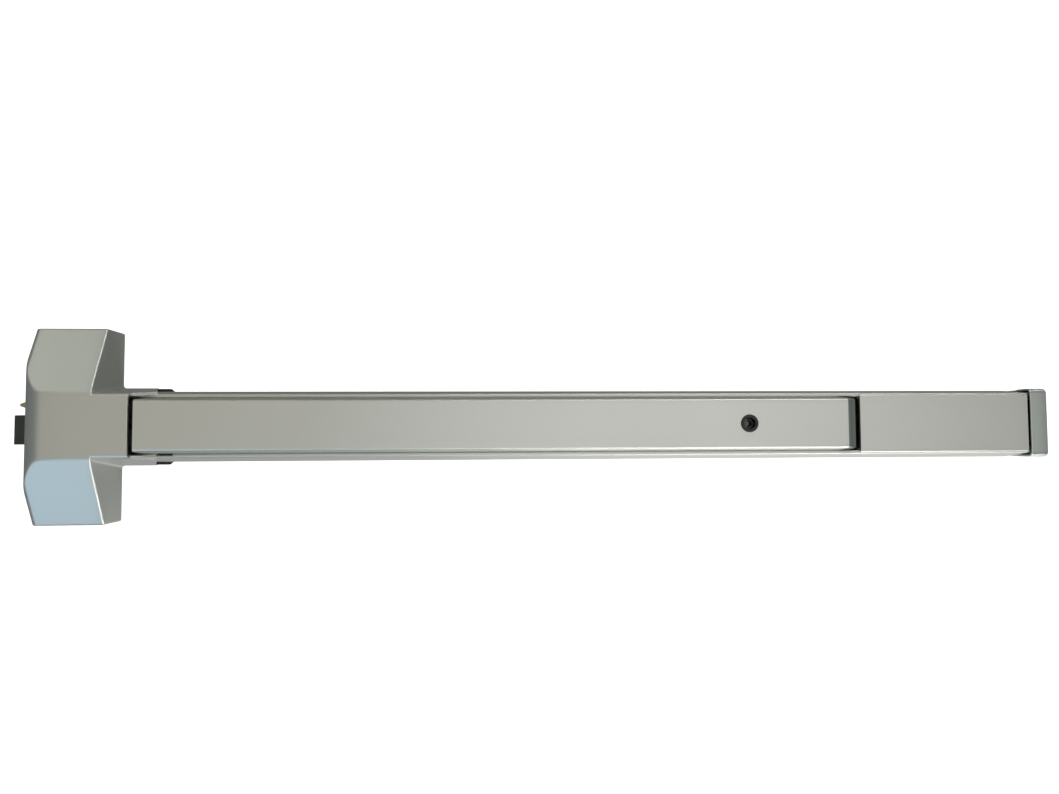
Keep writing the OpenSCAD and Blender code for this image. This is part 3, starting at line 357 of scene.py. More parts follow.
def finish(name, colour, metallic, roughness, worn_and_highlight=(200, 200, 195), wear_and_highlight=0.4, dust=0.08,
           grain_scale=900.0, grain_height=0.02, drift=0.05, cloud_scale=9.0, lines=0.0,
           wear_and_highlight_radius=0.0008):
    """One of the object's finishes, from the shared groups and its own values."""
    material = bpy.data.materials.new(name)
    material.use_nodes = True
    tree = material.node_tree
    shader = tree.nodes["Principled BSDF"]
    shader.inputs["Metallic"].default_value = metallic

    def group(which, **values):
        node = tree.nodes.new("ShaderNodeGroup")
        node.node_tree = which
        for label, value in values.items():
            node.inputs[label.replace("_", " ")].default_value = value
        return node.outputs

    def mixed(factor, a, b):
        mix = tree.nodes.new("ShaderNodeMix")
        mix.data_type = "RGBA"
        tree.links.new(factor, mix.inputs["Factor"])
        for socket, value in ((mix.inputs["A"], a), (mix.inputs["B"], b)):
            if isinstance(value, bpy.types.NodeSocket):
                tree.links.new(value, socket)
            else:
                socket.default_value = value
        return mix.outputs["Result"]

    grain = group(GRAIN, Scale=grain_scale, Cloud_scale=cloud_scale)
    # the edge mask mixes in the colour of rubbed edges; with the cast cover's numbers it is painted
    # highlight along the edges
    edges = group(EDGE_WEAR_AND_HIGHLIGHT, Radius=wear_and_highlight_radius, Amount=wear_and_highlight)["Mask"]
    settled = group(DUST, Amount=dust)["Mask"]

    base = np.array(linear(*colour)[:3])
    darker, lighter = tuple(base * (1 - drift)) + (1.0,), tuple(base * (1 + drift)) + (1.0,)
    painted = mixed(grain["Clouds"], darker, lighter)
    painted = mixed(edges, painted, linear(*worn_and_highlight))
    painted = mixed(settled, painted, linear(*DUST_COLOUR))
    tree.links.new(painted, shader.inputs["Base Color"])

    gloss = math_node(tree, "MULTIPLY_ADD", grain["Clouds"], CLOUD_GLOSS,
                      roughness - CLOUD_GLOSS / 2)
    gloss = math_node(tree, "MULTIPLY_ADD", settled, DUST_GLOSS, gloss)
    height = grain["Height"]
    if lines:
        drawn = group(DRAW_LINES)["Lines"]
        height = math_node(tree, "MULTIPLY_ADD", drawn, lines, height)
        gloss = math_node(tree, "MULTIPLY_ADD", drawn, LINE_GLOSS, gloss)
    tree.links.new(math_node(tree, "ADD", gloss, 0.0, clamp=True), shader.inputs["Roughness"])

    bump = tree.nodes.new("ShaderNodeBump")
    bump.inputs["Strength"].default_value = BUMP_STRENGTH
    bump.inputs["Distance"].default_value = grain_height * MM
    tree.links.new(height, bump.inputs["Height"])
    tree.links.new(bump.outputs["Normal"], shader.inputs["Normal"])
    return material


SATIN = finish("satin aluminium", (206, 207, 201), 0.85, 0.42, worn_and_highlight=(235, 235, 230), wear_and_highlight=0.35,
               grain_height=0.003, lines=0.8, drift=0.03)
# the cast cover's wide, near-white edge colour is painted highlight: bright lines along its edges,
# on top of real rubbing
CAST = finish("satin cast paint", (197, 199, 193), 0.72, 0.4, worn_and_highlight=(240, 242, 238), wear_and_highlight=2.0,
              grain_scale=1500, grain_height=0.012, drift=0.04, wear_and_highlight_radius=0.0014)
# the cap has the head's cast paint; this darker copy is painted shade, so that the cap looks darker
# than the head's band
CAST_SHADED_FOR_CAP = finish("satin cast paint with painted shade on the cap", (188, 194, 189), 0.85, 0.4, worn_and_highlight=(226, 227, 221),
                  wear_and_highlight=0.45, grain_scale=1500, grain_height=0.012, drift=0.04)
# the plug is darker than the head's cast paint: partly its own darker grey, partly painted shade
# for its nose turning away from the light
PLUG_GREY_AND_SHADE = finish("dark grey plug with painted shade", (112, 117, 114), 0.5, 0.34, worn_and_highlight=(170, 172, 168), wear_and_highlight=0.3,
                   grain_scale=1500, grain_height=0.012, drift=0.04)
BLACK_STEEL = finish("black steel", (34, 34, 32), 0.0, 0.5, worn_and_highlight=(120, 118, 112), wear_and_highlight=0.5,
                     grain_scale=1100, grain_height=0.03, drift=0.15)
BLACK_PLASTIC = finish("black plastic", (20, 21, 21), 0.0, 0.38, worn_and_highlight=(60, 60, 60), wear_and_highlight=0.3,
                       grain_scale=1600, grain_height=0.02, drift=0.1)
ZINC = finish("bright zinc", (178, 180, 184), 1.0, 0.32, worn_and_highlight=(210, 210, 210), wear_and_highlight=0.3,
              grain_scale=500, grain_height=0.01, drift=0.1, cloud_scale=60)
DARK_NICKEL = finish("dark nickel", (112, 113, 107), 0.9, 0.38, worn_and_highlight=(170, 165, 152), wear_and_highlight=0.6,
                     grain_scale=700, grain_height=0.015, drift=0.1, cloud_scale=40)
TAN_STEEL = finish("yellow plating", (168, 156, 122), 0.9, 0.4, worn_and_highlight=(205, 198, 180), wear_and_highlight=0.6,
                   grain_scale=700, grain_height=0.01, drift=0.12, cloud_scale=60)
SPRING_STEEL = finish("oiled spring steel", (128, 130, 136), 1.0, 0.3, worn_and_highlight=(190, 190, 190),
                      wear_and_highlight=0.2, grain_scale=900, grain_height=0.008, drift=0.12, cloud_scale=80)
FINISHES = {"satin_aluminium": SATIN, "cast_grey": CAST, "black_steel": BLACK_STEEL,
            "black_plastic": BLACK_PLASTIC, "zinc_steel": ZINC, "dark_nickel": DARK_NICKEL,
            "tan_steel": TAN_STEEL, "spring_steel": SPRING_STEEL}
print(len(FINISHES), "finishes")

# %% [markdown]
# ## Holes
#
# A hole is cut by a Boolean modifier with a cylinder. The result is baked into the mesh at once,
# along with any modifier that stands before it, so that the cylinder can be deleted.

# %% Holes
DRILL_SIDES = 64
OVERSHOOT = 1 * MM  # how far a drill runs past the wall it goes through


def drill(piece, centre, radius, reach, upright=False):
    """Cuts a round hole with a cylinder that is deleted afterwards. The centre is (x, d, z), and
    the cylinder runs `reach` to both sides of it, off the door or upright."""
    t = np.linspace(0, 2 * np.pi, DRILL_SIDES, endpoint=False)
    x, d, z = centre
    ends = np.array([[-reach], [reach]])
    if upright:
        ring = standing(x + radius * np.cos(t), d + radius * np.sin(t), z + ends)
    else:
        ring = standing(x + radius * np.cos(t), d + ends, z + radius * np.sin(t))
    mesh = bpy.data.meshes.new("drill")
    lids = [list(range(DRILL_SIDES)), list(range(DRILL_SIDES, 2 * DRILL_SIDES))]
    faces = grid_faces(2, DRILL_SIDES, True).tolist() + lids
    mesh.from_pydata(ring.reshape(-1, 3).tolist(), [], faces)
    work = bmesh.new()
    work.from_mesh(mesh)
    bmesh.ops.recalc_face_normals(work, faces=work.faces)
    work.to_mesh(mesh)
    work.free()
    cutter = bpy.data.objects.new("drill", mesh)
    scene.collection.objects.link(cutter)
    cut = piece.modifiers.new("hole", "BOOLEAN")
    cut.object, cut.operation, cut.solver = cutter, "DIFFERENCE", "EXACT"
    bpy.context.view_layer.update()
    evaluated = piece.evaluated_get(bpy.context.evaluated_depsgraph_get())
    cut_mesh = bpy.data.meshes.new_from_object(evaluated)
    piece.modifiers.clear()
    old, piece.data = piece.data, cut_mesh
    bpy.data.meshes.remove(old)
    bpy.data.objects.remove(cutter)
    piece.data.set_sharp_from_angle(angle=math.radians(35))


# %% [markdown]
# ## The head cover
#
# The head is one die casting. A flat band crosses its front, a wing slopes away above and below
# it, the latch side is rounded over, and a collar reaches out over the rail. It could be cut from
# a block with booleans, but the edges would stay hard. As a surface it is a row of arches: the
# same arch is repeated along the head, lowered where the latch side rounds over, and then drawn in
# to the narrower arch of the collar in the plane where the wings end. Solidify gives it a wall.

# %% Sizes of the head
head_low, head_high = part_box("head_cover")
head_x0, cheek_x = head_low[0], head_high[0]
head_depth, half_height = -head_low[1], head_high[2]
head_x1 = -head_x0
collar_reach = 28 * MM
mouth_x = head_x1 + collar_reach
lip_d = -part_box("rail")[0][1]
wing_edge_d, band_half = 32 * MM, 26 * MM
side_r, wing_side_r, wing_edge_r, edge_r, inner_r = 22 * MM, 5.5 * MM, 2 * MM, 1.6 * MM, 2.5 * MM
collar_base, collar_face, collar_r = 33 * MM, 25.6 * MM, 3 * MM
foot_d, foot_reach = 3 * MM, 1 * MM  # the collar's foot, and how far it runs past the mouth
band_ease, side_ease = 1.0 * MM, 1.2 * MM  # how softly the surfaces cross
crease_reach = 2 * MM
wall = 2.3 * MM

latch_low, latch_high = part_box("latch_bolt")
finger_low, finger_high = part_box("deadlatch")
finger_side, window_gap = 3 * MM, 0.6 * MM
finger_d = -(finger_low[1] + finger_high[1]) / 2
latch_d = -(latch_low[1] + latch_high[1]) / 2
latch_half_d = 8 * MM
# each window: lowest and highest height, then nearest and farthest distance off the door
WINDOWS = [
    (latch_low[2] - window_gap, latch_high[2] + window_gap,
     latch_d - latch_half_d - window_gap, latch_d + latch_half_d + window_gap),
    (finger_low[2] - window_gap, finger_high[2] + window_gap,
     finger_d - finger_side - window_gap, finger_d + finger_side + window_gap)]
print("windows (mm):", np.round(np.array(WINDOWS) / MM, 1).tolist())


# %% The head's skin
def soft_min(a, b, reach):
    """The smaller of two heights, eased where they cross: min(a, b) - reach h^2 / 4,
    where h falls from 1 to 0 as the two come `reach` apart."""
    h = np.maximum(0, 1 - np.abs(a - b) / reach)
    return np.minimum(a, b) - reach * h * h / 4


wing_slope = (head_depth - wing_edge_d) / (half_height - band_half)


def wing_height(z):
    """The band's flat front, or the wing's plane where that is lower."""
    return soft_min(head_depth, head_depth - (np.abs(z) - band_half) * wing_slope, band_ease)


wall_top = head_depth - side_r
first_row_share = 0.18
row_heights = sorted({0.0, wall_top * first_row_share, wall_top}
                     | {w for window in WINDOWS for w in window[2:]})
row_share = np.array(row_heights) / wall_top

# the rounded edge between the end wall and the wing
fall = math.atan(wing_slope)
edge_turn = np.pi / 2 - fall
tangent = wing_edge_r * math.tan((np.pi / 2 - fall) / 2)
side_top = wing_edge_d - tangent
turn = np.linspace(0, edge_turn, 7)[1:]
edge_z = half_height - wing_edge_r + wing_edge_r * np.cos(turn)
edge_d = side_top + wing_edge_r * np.sin(turn)

crease_z = np.linspace(band_half + crease_reach, collar_face - collar_r, 14)
slope_z = np.linspace(edge_z[-1], crease_z[0], 40)[1:-1]
wing_half_z = np.concatenate([
    np.full(len(row_share) - 1, half_height), edge_z, slope_z, crease_z])
wing_half_d = np.concatenate([row_share[:-1] * side_top, edge_d, wing_height(slope_z),
                              wing_height(crease_z)])

# the collar's half arch, with a column at each corner of its rim
lean = (collar_base - collar_face) / head_depth
side_count = len(wing_half_z) - len(crease_z)
collar_side_d = np.linspace(0, head_depth - collar_r, side_count)
for corner_d in (foot_d, lip_d):
    collar_side_d[np.argmin(np.abs(collar_side_d - corner_d))] = corner_d
corner_turn = np.linspace(0, np.pi / 2, len(crease_z))
corner_z0 = collar_base - lean * (head_depth - collar_r)
collar_half_z = np.concatenate([
    collar_base - lean * collar_side_d,
    crease_z[-1] + (corner_z0 - crease_z[-1]) * np.cos(corner_turn)])
collar_half_d = np.concatenate([
    collar_side_d, head_depth - collar_r + collar_r * np.sin(corner_turn)])

window_z = [w for window in WINDOWS for w in window[:2]]
band_z = np.unique(np.concatenate([
    np.linspace(-crease_z[-1], crease_z[-1], 13)[1:-1], window_z]))


def whole_arch(half_z, half_d):
    """A half arch mirrored about the middle height, with the band's columns between."""
    z = np.concatenate([-half_z, band_z, half_z[::-1]])
    d = np.concatenate([half_d, np.full(len(band_z), head_depth), half_d[::-1]])
    return z, d


wing_z, wing_d = whole_arch(wing_half_z, wing_half_d)
collar_z, collar_d = whole_arch(collar_half_z, collar_half_d)
columns = len(wing_z)
print("the arches have", columns, "columns")


def outward(z, d):
    """Unit normals of an arch: its tangent turned by a quarter."""
    along_z, along_d = np.gradient(z), np.gradient(d)
    length = np.maximum(np.hypot(along_z, along_d), 1e-9)
    return -along_d / length, along_z / length


def rim_x(d):
    """How far the collar reaches at a distance off the door: its rim runs out from the foot to the
    rail's lips, then back to the front face."""
    return np.interp(d, [0, foot_d, lip_d, head_depth],
                     [mouth_x + foot_reach, mouth_x + foot_reach, cheek_x, mouth_x])


def wing_drop(x):
    """How far a wing's rounded side falls below its plane: r - sqrt(r^2 - (r - reach)^2), where
    reach is the distance from the latch side, up to the radius r."""
    reach = np.clip(x - head_x0, 0, wing_side_r)
    return wing_side_r - np.sqrt(wing_side_r ** 2 - (wing_side_r - reach) ** 2)


FADE_REACH = 1.5
COLLAR_SHARES = (0.15, 0.3, 0.45, 0.6, 0.75, 0.88, 0.97, 1)


def head_rows():
    """The rows of the skin, as arrays of x, d and z:
    1. rounding over: x = x0 + r (1 - cos a), and no point stands higher than depth - r + r sin a
       or than the wing less the drop of its rounded side;
    2. straight on to where the wings end, with their edge rounded in;
    3. the collar's arch, with a fillet at its root, out to the rim."""
    rows = []
    for a in np.linspace(0, np.pi / 2, 33):
        top = head_depth - side_r + side_r * math.sin(a)
        x = head_x0 + side_r * (1 - math.cos(a))
        wing = wing_d - wing_drop(x) * np.clip(wing_d / side_top, 0, 1)
        rows.append((np.full(columns, x), soft_min(wing, top, side_ease), wing_z))
    for x in np.linspace(head_x0 + side_r, head_x1 - edge_r, 5)[1:-1]:
        rows.append((np.full(columns, x), wing_d, wing_z))
    apart = np.hypot(wing_z - collar_z, wing_d - collar_d)
    fade = np.clip(apart / (edge_r + inner_r) / FADE_REACH, 0, 1)
    wing_nz, wing_nd = outward(wing_z, wing_d)
    collar_nz, collar_nd = outward(collar_z, collar_d)
    flat_foot = np.where(wing_d < 1e-6, 0, 1)
    for a in np.linspace(0, np.pi / 2, 5):
        inset = edge_r * (1 - math.cos(a)) * fade
        rows.append((np.full(columns, head_x1 - edge_r + edge_r * math.sin(a)),
                     wing_d - wing_nd * inset * flat_foot, wing_z - wing_nz * inset))
    for a in np.linspace(0, np.pi / 2, 5):
        grown = inner_r * (1 - math.sin(a)) * fade
        rows.append((np.full(columns, head_x1 + inner_r * (1 - math.cos(a))),
                     collar_d + collar_nd * grown * flat_foot, collar_z + collar_nz * grown))
    start = head_x1 + inner_r
    for share in COLLAR_SHARES:
        rows.append((start + share * (rim_x(collar_d) - start), collar_d, collar_z))
    return rows


skin_rows = head_rows()
skin = np.stack([standing(*row) for row in skin_rows])
skin_faces = grid_faces(len(skin_rows), columns)

# %% [markdown]
# The latch side is a flat wall. Its own grid shares its border with the first arch, and its
# columns and rows fall on the edges of the two windows, so that the windows are simply the faces
# that are left out.

# %% The wall on the latch side, and its windows
front = slice(len(row_share) - 1, columns - len(row_share) + 1)
wall_outline = skin_rows[0][1][front]
wall_grid = standing(head_x0, row_share[:, None] * wall_outline, wing_z[front])
wall_faces = grid_faces(*wall_grid.shape[:2])
middles = wall_grid.reshape(-1, 3)[wall_faces].mean(1)


def inside(window, at):
    """True for points within a window."""
    low, high, near, far = window
    return (at[:, 2] > low) & (at[:, 2] < high) & (-at[:, 1] > near) & (-at[:, 1] < far)


open_faces = inside(WINDOWS[0], middles) | inside(WINDOWS[1], middles)
head_points = np.concatenate([skin.reshape(-1, 3), wall_grid.reshape(-1, 3)])
head_faces = np.concatenate([skin_faces, wall_faces[~open_faces] + skin.reshape(-1, 3).shape[0]])
head = finish_piece("head_casting", head_points, head_faces, CAST, "frame",
                    "head_cover", sharp=32)
shell = head.modifiers.new("wall", "SOLIDIFY")
shell.thickness = wall
shell.offset = -1
print(int(open_faces.sum()), "faces left out for the windows")

# %% Recesses for the screws that hold the cover
screw_low, screw_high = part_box("head_cover_screws")
screw_d, screw_r = -(screw_low[1] + screw_high[1]) / 2, (screw_high[0] - screw_low[0]) / 2
screw_x, screw_gap = (screw_low[0] + screw_high[0]) / 2, 0.2 * MM
for side in (-1, 1):
    drill(head, (screw_x, screw_d, side * half_height), screw_r + screw_gap, wall + OVERSHOOT,
          upright=True)
print("cover screws", round(2 * screw_r / MM, 1), "mm across")

# %% [markdown]
# ## The rail, the push bar and the filler cover
#
# These three are aluminium extrusions: one outline, the same all along. The rail is a trough with
# two lips, the push bar is hooked behind those lips, and the filler cover closes the rest of the
# rail's mouth. Each is its outline carried along the bar. The rail's lower lip has an assembly
# notch, which is the same outline with its lip set back for a few stations.

# %% The rail
rail_low, rail_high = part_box("rail")
rail_x0, rail_x1, rail_half, rail_back = rail_low[0], rail_high[0], rail_high[2], -rail_high[1]
rail_face_half, rail_wall, lip_half = 25.5 * MM, 1.8 * MM, 22.8 * MM
rail_lean = (rail_half - rail_face_half) / (lip_d - rail_back)


def rail_outline(notch):
    """The trough's outline in (height, distance off the door), its lower lip set back by notch."""
    floor_d, under_d = rail_back + rail_wall, lip_d - rail_wall
    floor_half = rail_half - rail_lean * (floor_d - rail_back) - rail_wall
    roof_half = rail_half - rail_lean * (under_d - rail_back) - rail_wall
    low_lip = lip_half + notch
    back_r, face_r, mouth_r = 0.6 * MM, 1.1 * MM, 0.45 * MM
    return rounded([
        (-rail_half, rail_back, back_r), (rail_half, rail_back, back_r),
        (rail_face_half, lip_d, face_r), (lip_half, lip_d, mouth_r), (lip_half, under_d, 0),
        (roof_half, under_d, 0), (floor_half, floor_d, 0), (-floor_half, floor_d, 0),
        (-roof_half, under_d, 0), (-low_lip, under_d, 0), (-low_lip, lip_d, mouth_r),
        (-rail_face_half, lip_d, face_r)])


notch_x0, notch_x1 = cheek_x - 0.5 * MM, cheek_x + 12.5 * MM
notch_deep, notch_ramp = 1.6 * MM, 0.2 * MM
rail_stations = np.concatenate([
    np.linspace(rail_x0, notch_x0 - notch_ramp, 3), [notch_x0, notch_x1],
    np.linspace(notch_x1 + notch_ramp, rail_x1, 9)])
rail_notch = np.where((rail_stations >= notch_x0) & (rail_stations <= notch_x1), notch_deep, 0)
rail = carried("rail_extrusion", np.stack([rail_outline(n) for n in rail_notch]), rail_stations,
               SATIN, "frame", "rail")

end_hole_inset, end_hole_z, end_hole_r = 12 * MM, 12 * MM, 6.25 * MM
end_hole_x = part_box("end_bracket")[0][0] + end_hole_inset
for side in (-1, 1):
    drill(rail, (end_hole_x, rail_back, side * end_hole_z), end_hole_r, rail_wall + OVERSHOOT)
soften(rail, 0.25 * MM)
print("rail", round((rail_x1 - rail_x0) / MM), "mm long")

# %% The push bar
bar_low, bar_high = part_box("push_bar")
bar_x0, bar_x1, bar_front = bar_low[0], bar_high[0], -bar_low[1]
hook_d, hook_half, hook_t = -bar_high[1], bar_high[2], 1.7 * MM
bar_side_half, bar_face_half, bar_wall = lip_half - 0.7 * MM, 20.3 * MM, 2 * MM
spindle_low, spindle_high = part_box("dog_spindle")
dog_x = (spindle_low[0] + spindle_high[0]) / 2
crown_r, inner_crown_r = 2.4 * MM, 0.5 * MM


def both_halves(half):
    """A rounded outline from its upper half, the corners of which go round from the front."""
    return rounded(half + [(-z, d, r) for z, d, r in half[::-1]])


def bar_outline():
    """The push bar's section: a hat with a rounded crown, and hooks behind the rail's lips."""
    inner_half, inner_face = bar_side_half - bar_wall, bar_face_half - bar_wall
    inner_d, hook_top = bar_front - bar_wall, hook_d + hook_t
    return both_halves([
        (bar_face_half, bar_front, crown_r), (bar_side_half, lip_d, 0),
        (bar_side_half, hook_top, 0), (hook_half, hook_top, 0), (hook_half, hook_d, 0),
        (inner_half, hook_d, 0), (inner_half, lip_d, 0), (inner_face, inner_d, inner_crown_r)])


push_bar = carried("push_bar_extrusion", bar_outline(), np.linspace(bar_x0, bar_x1, 12), SATIN,
                   "push_bar", "push_bar")
bar_hole_r, bar_hole_reach = 6.4 * MM, 4 * MM
drill(push_bar, (dog_x, bar_front, 0), bar_hole_r, bar_hole_reach)
soften(push_bar, 0.35 * MM)
print("push bar", round((bar_x1 - bar_x0) / MM, 1), "mm long")

# %% The filler cover
cover_low, cover_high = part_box("filler_cover")
cover_front, cover_half, cover_back = -cover_low[1], cover_high[2], -cover_high[1]


def cover_outline():
    """A flat strip with rounded edges and two legs that snap in behind the rail's lips."""
    leg, catch = lip_half - 0.4 * MM, lip_d - rail_wall - 0.1 * MM
    leg_t, barb, barb_t, edge, root = 1.6 * MM, 1.1 * MM, 0.7 * MM, 1.5 * MM, 0.4 * MM
    return both_halves([
        (cover_half, cover_front, edge), (cover_half, lip_d, 0), (leg, lip_d, 0), (leg, catch, 0),
        (leg + barb, catch, 0), (leg + barb, catch - barb_t, 0), (leg, cover_back, 0),
        (leg - leg_t, cover_back, 0), (leg - leg_t, lip_d, root)])


filler = carried("filler_cover_extrusion", cover_outline(),
                 np.linspace(cover_low[0], cover_high[0], 6), SATIN, "frame",
                 "filler_cover")
soften(filler, 0.3 * MM)

# %% [markdown]
# ## The end plug and the end cap
#
# The end plug closes the push bar with a rounded nose. Its surface is the bar's own arch, lowered
# as it runs out: height and reach share a superellipse, a curve between a circle and a box. The
# end cap is a cup over the end of the rail. Its arch keeps its size along the cup and then shrinks
# round the far edge by a quarter of a circle, and a flat face closes it.

# %% The end plug
plug_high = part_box("push_bar_end_plug")[1]
nose_x = plug_high[0]
plug_back = -plug_high[1]
plug_crown_d = bar_front - 0.3 * MM
plug_rise = 2 * MM  # the nose rounds over down to this height above the plug's back
NOSE_DRAW_IN = 0.05
sleeve_length, sleeve_root = 12 * MM, 0.01 * MM
SLEEVE_WIDE, SLEEVE_TALL = 0.9, 0.88


def plug_rows(power=2.2, steps=20):
    """Station a in 0..90 degrees: reach = sin(a)^(2/power), height = cos(a)^(2/power). Above the
    base, a point of the arch keeps the share `height` of its own height there, and the arch
    draws in by a twentieth. The first two rows are the sleeve inside the bar."""
    arch = rounded([
        (bar_side_half, plug_back, 0), (bar_side_half, lip_d, 0),
        (bar_face_half, plug_crown_d, crown_r), (-bar_face_half, plug_crown_d, crown_r),
        (-bar_side_half, lip_d, 0), (-bar_side_half, plug_back, 0)])
    a = np.linspace(0, np.pi / 2, steps)
    reach, height = np.sin(a) ** (2 / power), np.cos(a) ** (2 / power)
    base_d = plug_back + plug_rise
    tall = np.maximum(arch[:, 1] - base_d, 0)
    d = np.minimum(arch[:, 1], base_d) + tall * height[:, None]
    z = arch[:, 0] * (1 - NOSE_DRAW_IN * (1 - height[:, None]))
    x = bar_x1 + (nose_x - bar_x1) * reach[:, None]
    sleeve_x = np.array([bar_x1 - sleeve_length, bar_x1 - sleeve_root])
    sleeve_z = arch[:, 0] * SLEEVE_WIDE
    sleeve_d = plug_back + (arch[:, 1] - plug_back) * SLEEVE_TALL
    x = np.concatenate([np.tile(sleeve_x[:, None], (1, len(arch))), np.tile(x, (1, len(arch)))])
    d = np.concatenate([np.tile(sleeve_d, (2, 1)), d])
    z = np.concatenate([np.tile(sleeve_z, (2, 1)), z])
    return standing(x, d, z)


plug_points = plug_rows()
plug_count, plug_columns = plug_points.shape[:2]
# the plug's darker grey is partly painted shade
finish_piece("push_bar_nose", plug_points, grid_faces(plug_count, plug_columns, True), PLUG_GREY_AND_SHADE,
             "push_bar", "push_bar_end_plug", sharp=50,
             ends=[range(plug_columns),
                   range((plug_count - 1) * plug_columns, plug_count * plug_columns)])

# %% The end cap
cap_low, cap_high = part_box("end_cap")
cap_x0, cap_x1, cap_front, cap_half = cap_low[0], cap_high[0], -cap_low[1], cap_high[2]
cap_wall, cheek_d, cheek_step, foot_x = 1.5 * MM, 33 * MM, 4 * MM, rail_x1 + 0.3 * MM
CAP_SHARES = (0, 0.05, 0.5)


def cap_rows(corner_r=4.5 * MM, rim_r=2.2 * MM):
    """The arch from foot to foot. Its open rim stands at the cap's start for the cheeks and steps
    back below them to clear the rail. Station a shrinks it by r (1 - cos a) at
    x = end - r + r sin a."""
    turn = np.linspace(0, np.pi / 2, 10)
    side_d = np.unique(np.concatenate([
        np.linspace(0, cap_front - corner_r, 9)[:-1], [cheek_d - cheek_step, cheek_d]]))
    z = np.concatenate([
        np.full(len(side_d), cap_half), cap_half - corner_r + corner_r * np.cos(turn)])
    d = np.concatenate([side_d, cap_front - corner_r + corner_r * np.sin(turn)])
    middle_z = np.linspace(z[-1], -z[-1], 6)[1:-1]
    z, d = (np.concatenate([z, middle_z, -z[::-1]]),
            np.concatenate([d, np.full(len(middle_z), cap_front), d[::-1]]))
    nz, nd = outward(z, d)
    flip = np.sign((nz * z).sum())
    nz, nd = nz * flip, np.where(d < 1e-6, 0, nd * flip)
    rim = np.interp(d, [0, cheek_d - cheek_step, cheek_d, cap_front],
                    [foot_x, foot_x, cap_x0, cap_x0])
    share = np.array(CAP_SHARES)[:, None]
    a = np.linspace(0, np.pi / 2, 8)[:, None]
    x = np.concatenate([rim + share * (cap_x1 - rim_r - rim),
                        np.broadcast_to(cap_x1 - rim_r + rim_r * np.sin(a), (len(a), len(z)))])
    inset = np.concatenate([share * 0, rim_r * (1 - np.cos(a))])
    return standing(x, d - nd * inset, z - nz * inset)


cap_points = cap_rows()
cap_count, cap_columns = cap_points.shape[:2]
# the cap's finish is the head's cast paint made darker as painted shade
cap = finish_piece("end_cap_casting", cap_points, grid_faces(cap_count, cap_columns), CAST_SHADED_FOR_CAP,
                   "frame", "end_cap", sharp=40,
                   ends=[range((cap_count - 1) * cap_columns, cap_count * cap_columns)])
cup = cap.modifiers.new("wall", "SOLIDIFY")
cup.thickness = cap_wall
cup.offset = -1
cup.use_even_offset = True

# %% [markdown]
# ## The dogging screw
#
# Dogging holds the bar down, so that the door works as a push-and-pull door. Its screw sits in the
# bar behind a black grommet and takes a hexagon key. Both are turned parts. The socket is a ring
# whose radius follows a hexagon: half the width across flats, divided by the cosine of the angle
# from the middle of the nearest flat.

# %% Grommet and screw
grommet_r, grommet_hole, grommet_neck = 7.3 * MM, 4.6 * MM, 6.3 * MM
face_d = -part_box("dog_grommet")[0][1]
neck_back = -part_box("dog_grommet")[1][1]
round_off = np.linspace(0, np.pi / 2, 6)
lip_r = 0.8 * MM
lip_cos, lip_sin = lip_r * np.cos(round_off), lip_r * np.sin(round_off)
grommet_profile = np.concatenate([
    [[grommet_hole, neck_back], [grommet_neck, neck_back], [grommet_neck, bar_front],
     [grommet_r, bar_front]],
    np.stack([grommet_r - lip_r + lip_cos, face_d - lip_r + lip_sin], 1),
    np.stack([grommet_hole + lip_r - lip_sin, face_d - lip_r + lip_cos], 1),
    [[grommet_hole, neck_back]]])
turned("dog_grommet_ring", grommet_profile, (dog_x, 0), BLACK_PLASTIC, "push_bar",
       "dog_grommet")

hex_across, socket_deep = 6 * MM, 8 * MM
spindle_top = bar_front - 4 * MM
spindle_r, neck_r, flange_r = 4 * MM, 2.2 * MM, 6.2 * MM
tee_top, tee_t, tee_half = -spindle_high[1] + 3 * MM, 3 * MM, 7 * MM
plate_d = bar_front - 12 * MM
neck_top, shoulder_d = plate_d - 6 * MM, plate_d - 5.5 * MM
flange_back, flange_front = plate_d + 0.1 * MM, plate_d + 1.9 * MM
rim_cut, mouth_cut, drill_point = 0.4 * MM, 0.3 * MM, 0.6 * MM
SOCKET_SHARE = 0.94  # the socket's size as a share of its chamfered mouth


def spindle_points(sides=96):
    """A turned shaft whose top opens into a hexagon socket. Every row is (radius, distance, is it
    a hexagon), and a hexagon's radius at angle t is across / 2 / cos(t - middle of its flat).
    A hexagon's row holds its share of the mouth in place of a radius."""
    rows = np.array([
        (0.0, tee_top, 0), (neck_r, tee_top, 0), (neck_r, neck_top, 0), (spindle_r, shoulder_d, 0),
        (spindle_r, flange_back, 0), (flange_r, flange_back, 0), (flange_r, flange_front, 0),
        (spindle_r, flange_front, 0), (spindle_r, spindle_top - rim_cut, 0),
        (spindle_r - rim_cut, spindle_top, 0), (1.0, spindle_top, 1),
        (SOCKET_SHARE, spindle_top - mouth_cut, 1), (SOCKET_SHARE, spindle_top - socket_deep, 1),
        (0.0, spindle_top - socket_deep - drill_point, 0)])
    t = np.linspace(0, 2 * np.pi, sides, endpoint=False)
    hexagon = hex_across / 2 / SOCKET_SHARE / np.cos((t + np.pi / 6) % (np.pi / 3) - np.pi / 6)
    r = np.where(rows[:, 2:3] > 0, rows[:, :1] * hexagon, rows[:, :1])
    return standing(dog_x + r * np.cos(t), rows[:, 1:2], r * np.sin(t))


